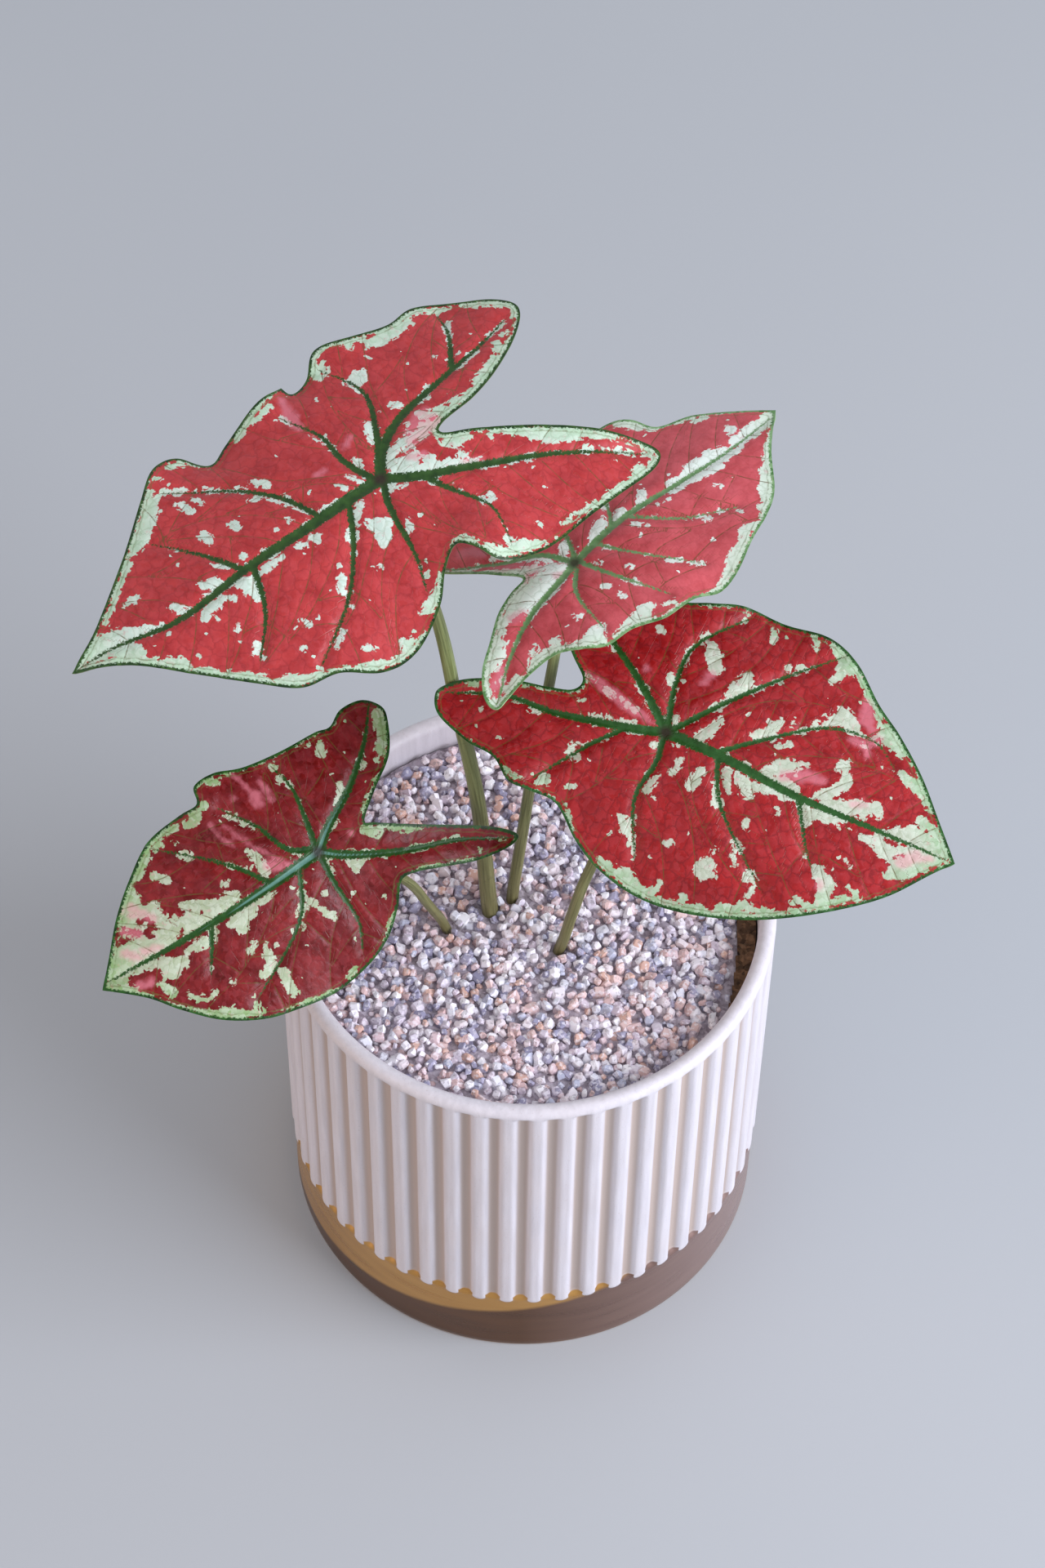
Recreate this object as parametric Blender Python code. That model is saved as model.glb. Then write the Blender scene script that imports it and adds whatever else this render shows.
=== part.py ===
"""Potted caladium: a ribbed ceramic pot of soil under gravel, with four leaves from one tuber.

Sizes are in millimetres and become metres when a mesh is made. The origin is the centre of the
pot's underside, +Z is up, and the side that faces -Y is the front.
"""

import math
import random

import bmesh
import bpy
from mathutils import Euler, Matrix, Vector
from mathutils.geometry import delaunay_2d_cdt

MM = 0.001
GAP = 0.35

# Pot: a straight ribbed wall between a plain rim ring and a smooth foot band.
RIM_RADIUS = 65.0
POT_HEIGHT = 126.0
WALL = 4.5
FLOOR = 6.0
RIM_RING = 5.0
RIM_ROUND = 1.0
RIB_COUNT = 54
GROOVE_DEPTH = 1.7
RIB_FOOT = 28.0
RIB_END_ROUND = 1.8
BAND_RADIUS = 64.4
BASE_ROUND = 0.8
INSIDE_DRAFT = 0.5
DRAIN_COUNT = 3
DRAIN_RADIUS = 4.0
DRAIN_RING = 32.0

# One rib pitch: where its points lie as shares of the pitch, and how far each stands out.
RIB_PROFILE = [(-0.30, 0.0), (-0.20, 0.85), (0.0, 1.0), (0.20, 0.85), (0.30, 0.0)]

# Filling: soil up to SOIL_TOP, then a layer of fine gravel with a pebbled top.
SOIL_TOP = 114.0
GRAVEL_LOW = 116.6
PEBBLE_PITCH = 5.4
PEBBLE_RISE = 1.5
FILL_SIDES = 72

# Tuber: a flattened round that the stalks grow from, buried in the soil.
TUBER_CENTRE = Vector((-6.0, -1.0, 89.0))
TUBER_RADII = Vector((21.0, 17.0, 13.0))

# Stalks: thick at the root and slim under the blade.
STALK_ROOT_RADIUS = 2.3
STALK_TOP_RADIUS = 1.4
STALK_STEP = 8.0
STALK_END = 2.5
HOLE_RADIUS = 2.8
HOLE_TOP = 125.0

# Blades: all are folded a little along the midrib, with a shallow dimple over the stalk.
BLADE_THICKNESS = 0.9
FOLD_SOFTNESS = 6.0
DIMPLE_DEPTH = 1.2
DIMPLE_RADIUS = 9.0
FURROW_DEPTH = 0.8
FURROW_RADIUS = 1.6
MARGIN_STEP = 4.5
BLADE_MESH_STEP = 6.2
VEIN_STEP = 4.5

# Each leaf lies in its own frame: u runs from the stalk to the tip along the midrib, v to its
# left. at is the top of the stalk, and turn is the frame's rotation about X, Y and Z in degrees.
# A wave lifts or lowers the blade round one point: u, v, its radius and its height. The outline
# is a list of runs, smooth within and with a corner where they meet. stalk lists the points that
# the stalk passes on its way up, the first two being the ends of its straight foot.
LEAVES = {
    "leaf_1": {
        "at": (-36.4, 22.9, 270.0), "turn": (-7.0, 3.0, -141.5),
        "length": 86.0, "droop": 8.0, "back_droop": 3.0, "fold": 0.18,
        "waves": [(27, -33, 9, -3.5), (42, -36, 9, 1.5), (9, -38, 7, 2.0), (0, -36, 6, -2.5),
                  (-14, -42, 10, 1.5), (-9, 28, 9, 4.5), (20, 41, 12, -3.0), (-28, 36, 10, -1.5),
                  (-46, -34, 10, -2.0), (-58, 30, 9, -2.0)],
        "outline": [
            [(86, -3), (75, -9), (60, -20), (48, -30), (40, -36), (33, -36), (28, -30), (22, -32),
             (12, -35), (2, -37)],
            [(2, -37), (1, -34), (-4, -35), (-10, -40), (-20, -38), (-29, -36), (-37, -37),
             (-46, -33), (-54, -27), (-57, -21), (-52, -15), (-42, -9), (-31, -5), (-21, -3.5),
             (-19, -1), (-27, 3), (-41, 11), (-53, 20), (-60, 28), (-59, 32), (-50, 34),
             (-34, 35), (-20, 36), (-10, 34), (-6, 28), (-3, 25), (2, 28), (8, 34), (18, 39),
             (28, 39), (37, 34), (46, 32), (54, 25), (64, 15), (75, 4), (86, -3)],
        ],
        "veins": [
            [(0, 0), (20, 1), (38, 1), (59, 2), (75, -2), (85, -3)],
            [(0, 0), (-5, -6), (-14, -11), (-27, -14), (-42, -17), (-52, -20)],
            [(0, 0), (-8, 5), (-20, 10), (-37, 17), (-57, 28)],
            [(-33, -16), (-39, -25), (-41, -32)],
            [(-8, 5), (-12, 12), (-17, 21), (-15, 31)],
            [(1, 0), (4, -9), (4, -19), (8, -29)],
            [(-1, -2), (-7, -11), (-12, -23), (-8, -35)],
            [(18, 0), (22, -10), (30, -20), (42, -29)],
            [(40, 1), (46, -10), (52, -19)],
            [(0, 1), (3, 8), (5, 20), (8, 29)],
            [(10, 1), (16, 11), (25, 21), (39, 30)],
            [(38, 2), (42, 12), (50, 21)],
        ],
        "stalk": [(-8.6, 1.0, 103.0), (-10.2, 3.6, 120.0), (-13.2, 8.6, 158.0),
                  (-18.2, 12.8, 191.0), (-23.0, 17.0, 222.0), (-31.5, 21.5, 254.0)],
    },
    "leaf_2": {
        "at": (9.6, 21.2, 242.0), "turn": (-9.0, -8.0, 41.4),
        "length": 66.0, "droop": 7.0, "back_droop": 3.0, "fold": 0.18,
        "waves": [(38, 29, 8, 2.5), (20, 32, 9, -2.0), (-14, -21, 7, 2.0), (20, -31, 8, -2.0),
                  (34, -25, 8, 1.5), (-38, -16, 8, -2.0), (-20, 28, 9, -2.0)],
        "outline": [
            [(67, 3), (60, 10), (52, 17), (43, 20), (40, 26), (34, 30), (25, 33), (14, 33),
             (2, 34), (-10, 37), (-20, 38), (-25, 35), (-23, 29), (-19, 19), (-15, 11), (-12, 5),
             (-17, 3.5), (-23, 1), (-30, -4), (-36, -8), (-40, -13), (-40, -17), (-36, -17),
             (-28, -17), (-21, -18), (-16, -22), (-11, -25), (-3, -25), (5, -28), (14, -28),
             (20, -30), (27, -29), (34, -26), (42, -22), (49, -17), (57, -7), (67, 3)],
        ],
        "veins": [
            [(0, 0), (17, 1), (34, 0), (49, 0), (64, 2)],
            [(0, 0), (-6, -2), (-18, -5), (-29, -10), (-39, -16)],
            [(0, 0), (-4, 8), (-12, 14), (-20, 25), (-23, 32)],
            [(-1, -2), (-6, -8), (-8, -20)],
            [(1, -1), (4, -10), (10, -23)],
            [(7, 0), (12, -9), (22, -22)],
            [(18, 0), (27, -9), (39, -15)],
            [(13, 1), (17, 8), (20, 20)],
            [(1, 1), (4, 9), (3, 22)],
        ],
        "stalk": [(-4.8, 4.8, 103.0), (-3.8, 7.7, 120.0), (-1.7, 10.2, 142.0), (1.0, 13.2, 170.0),
                  (4.4, 16.4, 199.0), (7.6, 19.6, 226.0)],
    },
    "leaf_3": {
        "at": (32.9, -2.2, 205.0), "turn": (23.0, 6.0, -24.3),
        "length": 77.0, "droop": 7.0, "back_droop": 3.0, "fold": 0.18,
        "waves": [(30, 39, 10, 2.0), (10, 39, 9, -2.0), (-28, -26, 8, 2.5), (-52, -14, 9, -1.5),
                  (12, -39, 12, -2.0), (50, -26, 10, 1.5), (-34, 34, 9, -2.0)],
        "outline": [
            [(77, 1), (69, 9), (61, 17), (52, 24), (44, 29), (35, 36), (26, 39), (15, 38),
             (4, 38), (-4, 35), (-12, 32), (-24, 33), (-34, 33), (-42, 29), (-43, 23), (-36, 15),
             (-29, 8), (-24, 3.5), (-25, 0), (-31, -2), (-40, -4), (-50, -8), (-55, -12),
             (-56, -15), (-53, -19), (-44, -22), (-36, -23), (-30, -27), (-24, -27), (-17, -27),
             (-9, -33), (-1, -37), (10, -39), (22, -38), (35, -34), (47, -28), (57, -21),
             (66, -13), (73, -4), (77, 1)],
        ],
        "veins": [
            [(0, 0), (17, 0), (35, -1), (57, 0), (76, 1)],
            [(0, 0), (-9, -3), (-27, -7), (-40, -8), (-54, -13)],
            [(0, 0), (-6, 5), (-16, 12), (-30, 20), (-40, 26)],
            [(-9, -3), (-16, -11), (-25, -24)],
            [(0, 1), (-3, 12), (-3, 23), (6, 36)],
            [(1, 1), (11, 14), (21, 26), (31, 36)],
            [(13, 0), (22, 8), (35, 18), (47, 20), (54, 16)],
            [(0, -1), (1, -8), (0, -18), (6, -31)],
            [(14, 0), (20, -11), (37, -25)],
            [(36, -1), (42, -10), (46, -15)],
        ],
        "stalk": [(5.6, -6.8, 102.0), (9.2, -9.2, 120.0), (12.9, -7.8, 139.0), (16.0, -6.7, 152.0),
                  (24.5, -4.6, 182.0)],
    },
    "leaf_4": {
        "at": (-52.5, -14.5, 168.0), "turn": (-32.0, 9.0, -143.0),
        "length": 64.0, "droop": 11.0, "back_droop": 3.0, "fold": 0.24,
        "waves": [(17, -29, 7, 2.0), (26, -27, 7, -2.0), (-30, -25, 8, -2.0), (-15, 20, 7, 2.5),
                  (12, 32, 10, -2.0), (40, 22, 9, 1.5), (-42, 24, 8, -2.0)],
        "outline": [
            [(63, -2), (58, -7), (50, -15), (42, -21), (33, -26), (23, -27), (18, -27),
             (16, -31), (10, -31), (3, -28), (-7, -26), (-17, -25), (-21, -24), (-26, -26),
             (-32, -25), (-35, -21), (-34, -17), (-29, -10), (-21, -5), (-14, 0), (-16, 2),
             (-24, 8), (-34, 15), (-42, 21), (-46, 26), (-42, 27), (-33, 25), (-24, 21),
             (-17, 18), (-13, 18), (-9, 23), (-3, 28), (5, 31), (15, 32), (25, 30), (34, 27),
             (43, 21), (50, 13), (55, 6), (63, -2)],
        ],
        "veins": [
            [(0, 0), (20, 0), (40, -1), (62, -3)],
            [(0, 0), (-6, -4), (-16, -9), (-26, -16), (-33, -23)],
            [(0, 0), (-6, 5), (-18, 12), (-32, 18), (-45, 26)],
            [(0, -1), (6, -5), (9, -14), (14, -23)],
            [(0, -1), (-2, -8), (-4, -17), (-3, -24)],
            [(14, 0), (21, -11), (33, -24)],
            [(0, 1), (1, 9), (1, 20), (4, 27)],
            [(6, 0), (14, 12), (33, 22)],
            [(33, 1), (39, 10)],
        ],
        "stalk": [(-18.0, -2.0, 102.0), (-22.0, -3.6, 120.0), (-26.6, -7.1, 136.0),
                  (-31.0, -10.0, 149.0), (-41.0, -12.6, 160.5)],
    },
}


# Helpers

def clear_scene():
    for obj in list(bpy.data.objects):
        bpy.data.objects.remove(obj, do_unlink=True)


def make_material(name, colour, roughness, metallic=0.0):
    mat = bpy.data.materials.new(name)
    mat.use_nodes = True
    shader = mat.node_tree.nodes["Principled BSDF"]
    shader.inputs["Base Color"].default_value = (*colour, 1.0)
    shader.inputs["Roughness"].default_value = roughness
    shader.inputs["Metallic"].default_value = metallic
    return mat


def add_object(name, bm, mat, at=(0.0, 0.0, 0.0), turn=(0.0, 0.0, 0.0), smooth_angle=40.0):
    """Turn a bmesh in millimetres into a named object in metres, placed and turned."""
    bmesh.ops.scale(bm, vec=(MM, MM, MM), verts=bm.verts)
    bmesh.ops.recalc_face_normals(bm, faces=bm.faces)
    if bm.calc_volume(signed=True) < 0.0:
        bmesh.ops.reverse_faces(bm, faces=bm.faces)
    mesh = bpy.data.meshes.new(name)
    bm.to_mesh(mesh)
    bm.free()
    mesh.shade_smooth()
    mesh.set_sharp_from_angle(angle=math.radians(smooth_angle))
    obj = bpy.data.objects.new(name, mesh)
    obj.location = Vector(at) * MM
    obj.rotation_euler = turn
    bpy.context.scene.collection.objects.link(obj)
    if mat is not None:
        mesh.materials.append(mat)
    return obj


def add_cutter(name, bm, at=(0.0, 0.0, 0.0), turn=(0.0, 0.0, 0.0)):
    cutter = add_object(name, bm, None, at, turn)
    cutter.hide_render = True
    cutter.display_type = "WIRE"
    return cutter


def add_boolean(obj, cutter, operation):
    mod = obj.modifiers.new(cutter.name, "BOOLEAN")
    mod.operation = operation
    mod.solver = "EXACT"
    mod.object = cutter


def catmull_rom(p0, p1, p2, p3, t):
    """A point of the smooth curve that passes p1 at t=0 and p2 at t=1."""
    return 0.5 * (2.0 * p1 + (p2 - p0) * t
                  + (2.0 * p0 - 5.0 * p1 + 4.0 * p2 - p3) * t * t
                  + (3.0 * p1 - p0 - 3.0 * p2 + p3) * t * t * t)


def smooth_run(points, step):
    """Points about step apart on a smooth curve through the given ones, ends included."""
    pts = [Vector(p) for p in points]
    pts = [2.0 * pts[0] - pts[1]] + pts + [2.0 * pts[-1] - pts[-2]]
    run = []
    for i in range(1, len(pts) - 2):
        pieces = max(1, round((pts[i + 1] - pts[i]).length / step))
        for k in range(pieces):
            run.append(catmull_rom(pts[i - 1], pts[i], pts[i + 1], pts[i + 2], k / pieces))
    run.append(pts[-2])
    return run


def drum(height, r_low, r_high, sides):
    """A closed drum round its own centre, upright."""
    bm = bmesh.new()
    bmesh.ops.create_cone(bm, cap_ends=True, cap_tris=False, segments=sides,
                          radius1=r_low, radius2=r_high, depth=height)
    return bm


# Pot

def pot_loop(bm, z, radius, stand_out):
    """One level of the pot's outside, with its points at the places of the rib profile."""
    loop = []
    for rib in range(RIB_COUNT):
        for share, height in RIB_PROFILE:
            angle = 2.0 * math.pi * (rib + share) / RIB_COUNT
            r = radius + stand_out * height
            loop.append(bm.verts.new((r * math.cos(angle), r * math.sin(angle), z)))
    return loop


def close_loop(bm, loop):
    return [bm.edges.new((a, b)) for a, b in zip(loop, loop[1:] + loop[:1])]


def plain_loop(bm, z, radius, count):
    ring = bmesh.ops.create_circle(bm, cap_ends=False, segments=count, radius=radius,
                                   matrix=Matrix.Translation((0.0, 0.0, z)))
    return list({e for v in ring["verts"] for e in v.link_edges})


def build_pot(mat):
    groove = RIM_RADIUS - GROOVE_DEPTH
    ring_foot = POT_HEIGHT - RIM_RING
    levels = [
        (0.0, BAND_RADIUS - BASE_ROUND, 0.0),
        (BASE_ROUND, BAND_RADIUS, 0.0),
        (RIB_FOOT - RIB_END_ROUND, BAND_RADIUS, 0.0),
        (RIB_FOOT, groove, GROOVE_DEPTH),
        (ring_foot, groove, GROOVE_DEPTH),
        (ring_foot + 0.6, RIM_RADIUS, 0.0),
        (POT_HEIGHT - RIM_ROUND, RIM_RADIUS, 0.0),
        (POT_HEIGHT, RIM_RADIUS - RIM_ROUND, 0.0),
    ]
    inside = RIM_RADIUS - WALL
    bm = bmesh.new()
    outer = [close_loop(bm, pot_loop(bm, *level)) for level in levels]
    for low, high in zip(outer, outer[1:]):
        bmesh.ops.bridge_loops(bm, edges=low + high)
    inner = [
        plain_loop(bm, POT_HEIGHT, inside + 0.6, FILL_SIDES),
        plain_loop(bm, POT_HEIGHT - RIM_ROUND, inside, FILL_SIDES),
        plain_loop(bm, FLOOR, inside - INSIDE_DRAFT, FILL_SIDES),
    ]
    bmesh.ops.bridge_loops(bm, edges=outer[-1] + inner[0])
    for high, low in zip(inner, inner[1:]):
        bmesh.ops.bridge_loops(bm, edges=high + low)
    bmesh.ops.contextual_create(bm, geom=outer[0])
    bmesh.ops.contextual_create(bm, geom=inner[-1])
    pot = add_object("pot", bm, mat, smooth_angle=35.0)
    for i in range(DRAIN_COUNT):
        angle = math.radians(90.0) + 2.0 * math.pi * i / DRAIN_COUNT
        at = (DRAIN_RING * math.cos(angle), DRAIN_RING * math.sin(angle), 0.5 * FLOOR)
        hole = add_cutter(f"drain_{i + 1}", drum(FLOOR + 4.0, DRAIN_RADIUS, DRAIN_RADIUS, 20), at)
        add_boolean(pot, hole, "DIFFERENCE")


# Soil, gravel and tuber

def fill_radius(z):
    """Radius of the filling at a height: the pot's inside less the gap."""
    share = (POT_HEIGHT - RIM_ROUND - z) / (POT_HEIGHT - RIM_ROUND - FLOOR)
    return RIM_RADIUS - WALL - INSIDE_DRAFT * share - GAP


def tuber_mesh(grow):
    bm = bmesh.new()
    bmesh.ops.create_icosphere(bm, subdivisions=2, radius=1.0)
    bmesh.ops.scale(bm, vec=TUBER_RADII + Vector((grow, grow, grow)), verts=bm.verts)
    return bm


def stalk_hole(name):
    """A straight cutter round the foot of one stalk, from inside the tuber's room upwards."""
    root, surface = (Vector(p) for p in LEAVES[name]["stalk"][:2])
    axis = (surface - root).normalized()
    low = root - 2.0 * axis
    high = root + axis * ((HOLE_TOP - root.z) / axis.z)
    turn = axis.to_track_quat("Z", "Y").to_euler()
    hole = drum((high - low).length, HOLE_RADIUS, HOLE_RADIUS, 12)
    return add_cutter("hole_" + name, hole, 0.5 * (low + high), turn)


def build_soil(mat, holes):
    low = FLOOR + GAP
    bm = drum(SOIL_TOP - low, fill_radius(low), fill_radius(SOIL_TOP), FILL_SIDES)
    soil = add_object("soil", bm, mat, at=(0.0, 0.0, 0.5 * (low + SOIL_TOP)))
    room = add_cutter("tuber_room", tuber_mesh(GAP + 0.3), TUBER_CENTRE)
    for cutter in [room] + holes:
        add_boolean(soil, cutter, "DIFFERENCE")


def build_gravel(mat, holes):
    """A slab whose top is a honeycomb of six-sided humps, pushed about so no row shows."""
    rng = random.Random(7)
    bm = bmesh.new()
    reach = RIM_RADIUS
    row_pitch = PEBBLE_PITCH * math.sqrt(0.75)
    rows = int(reach / row_pitch) + 1
    humps = []
    for row in range(-rows, rows + 1):
        for col in range(-rows, rows + 1):
            x = (col + 0.5 * (row % 2)) * PEBBLE_PITCH
            y = row * row_pitch
            if math.hypot(x, y) > reach + PEBBLE_PITCH:
                continue
            place = Matrix.Translation((x, y, GRAVEL_LOW - SOIL_TOP))
            hump = bmesh.ops.create_circle(bm, cap_ends=True, cap_tris=True, segments=6,
                                           radius=PEBBLE_PITCH / math.sqrt(3.0), matrix=place)
            humps.append(min(hump["verts"], key=lambda v: math.hypot(v.co.x - x, v.co.y - y)))
    for top in humps:
        top.co.z += PEBBLE_RISE * rng.uniform(0.7, 1.3)
    bmesh.ops.remove_doubles(bm, verts=bm.verts, dist=0.05)
    border = {v for e in bm.edges if e.is_boundary for v in e.verts}
    for v in bm.verts:
        if v not in border:
            v.co += Vector((rng.uniform(-0.8, 0.8), rng.uniform(-0.8, 0.8), rng.uniform(-0.3, 0.3)))
    rim = [e for e in bm.edges if e.is_boundary]
    skirt = bmesh.ops.extrude_edge_only(bm, edges=rim)
    low = [g for g in skirt["geom"] if isinstance(g, bmesh.types.BMVert)]
    for v in low:
        v.co.z = GAP
    floor_edges = [g for g in skirt["geom"] if isinstance(g, bmesh.types.BMEdge)
                   and all(v in low for v in g.verts)]
    bmesh.ops.contextual_create(bm, geom=floor_edges)
    surface = (0.0, 0.0, SOIL_TOP)
    gravel = add_object("gravel", bm, mat, surface, smooth_angle=20.0)
    radius = fill_radius(SOIL_TOP)
    edge = add_cutter("gravel_edge", drum(20.0, radius, radius, FILL_SIDES), surface)
    add_boolean(gravel, edge, "INTERSECT")
    for cutter in holes:
        add_boolean(gravel, cutter, "DIFFERENCE")


# Leaves

def leaf_turn(leaf):
    return Euler([math.radians(a) for a in leaf["turn"]])


def blade_height(leaf, u, v):
    """How far the blade's upper face lies over its own plane: droop, fold, waves, dimple."""
    droop = leaf["droop"] if u > 0.0 else leaf["back_droop"]
    height = -droop * (u / leaf["length"]) ** 2
    height -= leaf["fold"] * (math.hypot(v, FOLD_SOFTNESS) - FOLD_SOFTNESS)
    for wave_u, wave_v, radius, lift in leaf["waves"]:
        height += lift * math.exp(-((u - wave_u) ** 2 + (v - wave_v) ** 2) / radius ** 2)
    height += DIMPLE_DEPTH * (1.0 - math.exp(-(u * u + v * v) / DIMPLE_RADIUS ** 2))
    return height


def distance_to_line(p, line):
    best = math.inf
    for a, b in zip(line, line[1:]):
        ab = b - a
        t = min(1.0, max(0.0, (p - a).dot(ab) / ab.length_squared))
        best = min(best, (p - a - t * ab).length)
    return best


def blade_points(leaf):
    """Margin, vein points and an even triangular lattice between them, in u and v."""
    margin = []
    for run in leaf["outline"]:
        margin += smooth_run(run, MARGIN_STEP)[:-1]
    veins = [smooth_run(vein, VEIN_STEP) for vein in leaf["veins"]]
    clear = 0.55 * BLADE_MESH_STEP
    closed = margin + margin[:1]
    vein_points = []
    for vein in veins:
        for p in vein:
            far = all((p - q).length > 0.6 * VEIN_STEP for q in vein_points)
            if far and distance_to_line(p, closed) > 0.5 * MARGIN_STEP:
                vein_points.append(p)
    lattice = []
    row_pitch = BLADE_MESH_STEP * math.sqrt(0.75)
    low = Vector((min(p.x for p in margin), min(p.y for p in margin)))
    high = Vector((max(p.x for p in margin), max(p.y for p in margin)))
    rows = int((high.y - low.y) / row_pitch) + 1
    cols = int((high.x - low.x) / BLADE_MESH_STEP) + 1
    for row in range(rows):
        for col in range(cols):
            p = low + Vector(((col + 0.5 * (row % 2)) * BLADE_MESH_STEP, row * row_pitch))
            far = all((p - q).length > clear for q in vein_points)
            if far and distance_to_line(p, closed) > clear:
                lattice.append(p)
    return margin, veins, vein_points + lattice


def build_blade(name, mat):
    leaf = LEAVES[name]
    margin, veins, inner = blade_points(leaf)
    count = len(margin)
    ring = [(i, (i + 1) % count) for i in range(count)]
    points, _, faces, _, _, _ = delaunay_2d_cdt(margin + inner, ring, [], 1, 0.01)
    bm = bmesh.new()
    verts = []
    for p in points:
        height = blade_height(leaf, p.x, p.y)
        near = min(distance_to_line(p, vein) for vein in veins)
        height -= FURROW_DEPTH * math.exp(-(near / FURROW_RADIUS) ** 2)
        verts.append(bm.verts.new((p.x, p.y, height)))
    for face in faces:
        bm.faces.new([verts[i] for i in face])
    bm.normal_update()
    bmesh.ops.solidify(bm, geom=bm.faces[:], thickness=BLADE_THICKNESS)
    return add_object(name + "_blade", bm, mat, leaf["at"], leaf_turn(leaf))


def stalk_route(leaf):
    """A straight foot in soil and gravel, a smooth rise, and a short end square to the blade."""
    out = leaf_turn(leaf).to_matrix() @ Vector((0.0, 0.0, 1.0))
    top = Vector(leaf["at"]) - (BLADE_THICKNESS + FURROW_DEPTH + GAP) * out
    root = Vector(leaf["stalk"][0])
    rise = leaf["stalk"][1:] + [top - STALK_END * out]
    return [root] + smooth_run(rise, STALK_STEP) + [top]


def build_stalk(name, mat):
    route = stalk_route(LEAVES[name])
    curve = bpy.data.curves.new(name + "_stalk", "CURVE")
    curve.dimensions = "3D"
    curve.bevel_depth = MM
    curve.bevel_resolution = 2
    curve.use_fill_caps = True
    spline = curve.splines.new("POLY")
    spline.points.add(len(route) - 1)
    for i, (point, place) in enumerate(zip(spline.points, route)):
        share = max(0.0, (i - 1) / (len(route) - 2))
        point.co = (*((place - route[0]) * MM), 1.0)
        point.radius = STALK_ROOT_RADIUS + (STALK_TOP_RADIUS - STALK_ROOT_RADIUS) * share
    curve.materials.append(mat)
    obj = bpy.data.objects.new(name + "_stalk", curve)
    obj.location = route[0] * MM
    bpy.context.scene.collection.objects.link(obj)
    return obj


def main():
    clear_scene()
    ceramic = make_material("blush_ceramic", (0.78, 0.66, 0.62), 0.55)
    stones = make_material("pink_gravel", (0.55, 0.45, 0.42), 0.7)
    earth = make_material("potting_soil", (0.09, 0.06, 0.04), 0.95)
    tuber_skin = make_material("tuber_skin", (0.16, 0.10, 0.06), 0.9)
    build_pot(ceramic)
    holes = [stalk_hole(name) for name in LEAVES]
    build_soil(earth, holes)
    build_gravel(stones, holes)
    add_object("tuber", tuber_mesh(0.0), tuber_skin, TUBER_CENTRE)
    for name in LEAVES:
        build_blade(name, make_material(name + "_red", (0.42, 0.03, 0.04), 0.4))
        build_stalk(name, make_material(name + "_olive", (0.17, 0.19, 0.06), 0.5))


main()
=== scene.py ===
# %% [markdown]
# # Potted caladium
#
# A caladium is a house plant that is kept for its leaves. This one stands in a small ribbed
# ceramic pot, and four arrow-shaped leaves rise from it on bare stalks. The measured model is
# already packed, so this lesson loads it as a frame and builds the finer pieces round it: the
# glazed pot, the gravel, the stalks and the four blades with their red and cream pattern.

# %% Load the measured model
import math
import random
from types import SimpleNamespace

import bmesh
import bpy
import numpy as np
from mathutils import Euler, Matrix, Vector


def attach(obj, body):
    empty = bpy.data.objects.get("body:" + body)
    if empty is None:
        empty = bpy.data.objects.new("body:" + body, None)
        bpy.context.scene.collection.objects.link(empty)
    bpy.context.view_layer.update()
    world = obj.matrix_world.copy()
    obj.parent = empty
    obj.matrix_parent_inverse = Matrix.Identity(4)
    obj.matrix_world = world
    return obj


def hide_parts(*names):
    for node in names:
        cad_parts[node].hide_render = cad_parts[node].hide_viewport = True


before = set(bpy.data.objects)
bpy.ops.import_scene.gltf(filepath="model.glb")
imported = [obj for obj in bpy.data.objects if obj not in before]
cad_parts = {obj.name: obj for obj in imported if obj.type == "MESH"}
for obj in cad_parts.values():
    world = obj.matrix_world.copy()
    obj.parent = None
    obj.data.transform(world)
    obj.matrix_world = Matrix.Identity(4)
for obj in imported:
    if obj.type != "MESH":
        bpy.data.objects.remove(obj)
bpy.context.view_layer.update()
print("measured nodes:", sorted(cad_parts))

# %% [markdown]
# ## Helpers that every piece needs
#
# Sizes in this lesson are millimetres, because a ruler held to a real plant gives those. A mesh
# is scaled to metres once, when its object is made, and the object itself stays at the origin.

# %% From a bmesh to a piece
MM = 0.001


def make_piece(name, bm, material, node, sharp=40.0):
    """Scale a bmesh from millimetres to metres and make it a smooth piece of the plant.

    node is the measured solid that the piece stands for, and sharp is the angle between two
    faces, in degrees, from which their edge stays crisp.
    """
    bmesh.ops.scale(bm, vec=(MM, MM, MM), verts=bm.verts)
    mesh = bpy.data.meshes.new(name)
    bm.to_mesh(mesh)
    bm.free()
    mesh.shade_smooth()
    mesh.set_sharp_from_angle(angle=math.radians(sharp))
    mesh.materials.append(material)
    piece = bpy.data.objects.new(name, mesh)
    bpy.context.scene.collection.objects.link(piece)
    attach(piece, "root")
    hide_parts(node)
    mesh.calc_loop_triangles()
    print(name, len(mesh.loop_triangles), "triangles")
    return piece


# %% Colours, materials and nodes
def linear(hex_colour):
    """A colour written as sRGB hex, as the linear values that a shader works in."""
    parts = [int(hex_colour[i:i + 2], 16) / 255.0 for i in (1, 3, 5)]
    return [c / 12.92 if c <= 0.04045 else ((c + 0.055) / 1.055) ** 2.4 for c in parts] + [1.0]


def new_material(name, sockets):
    """A material with one Principled shader, and values set on the shader's own sockets."""
    material = bpy.data.materials.new(name)
    material.use_nodes = True
    shader = material.node_tree.nodes["Principled BSDF"]
    for socket, value in sockets.items():
        shader.inputs[socket].default_value = value
    return material, material.node_tree


def live_output(node):
    """The first output that a node has in use."""
    return next(o for o in node.outputs if o.enabled)


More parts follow.
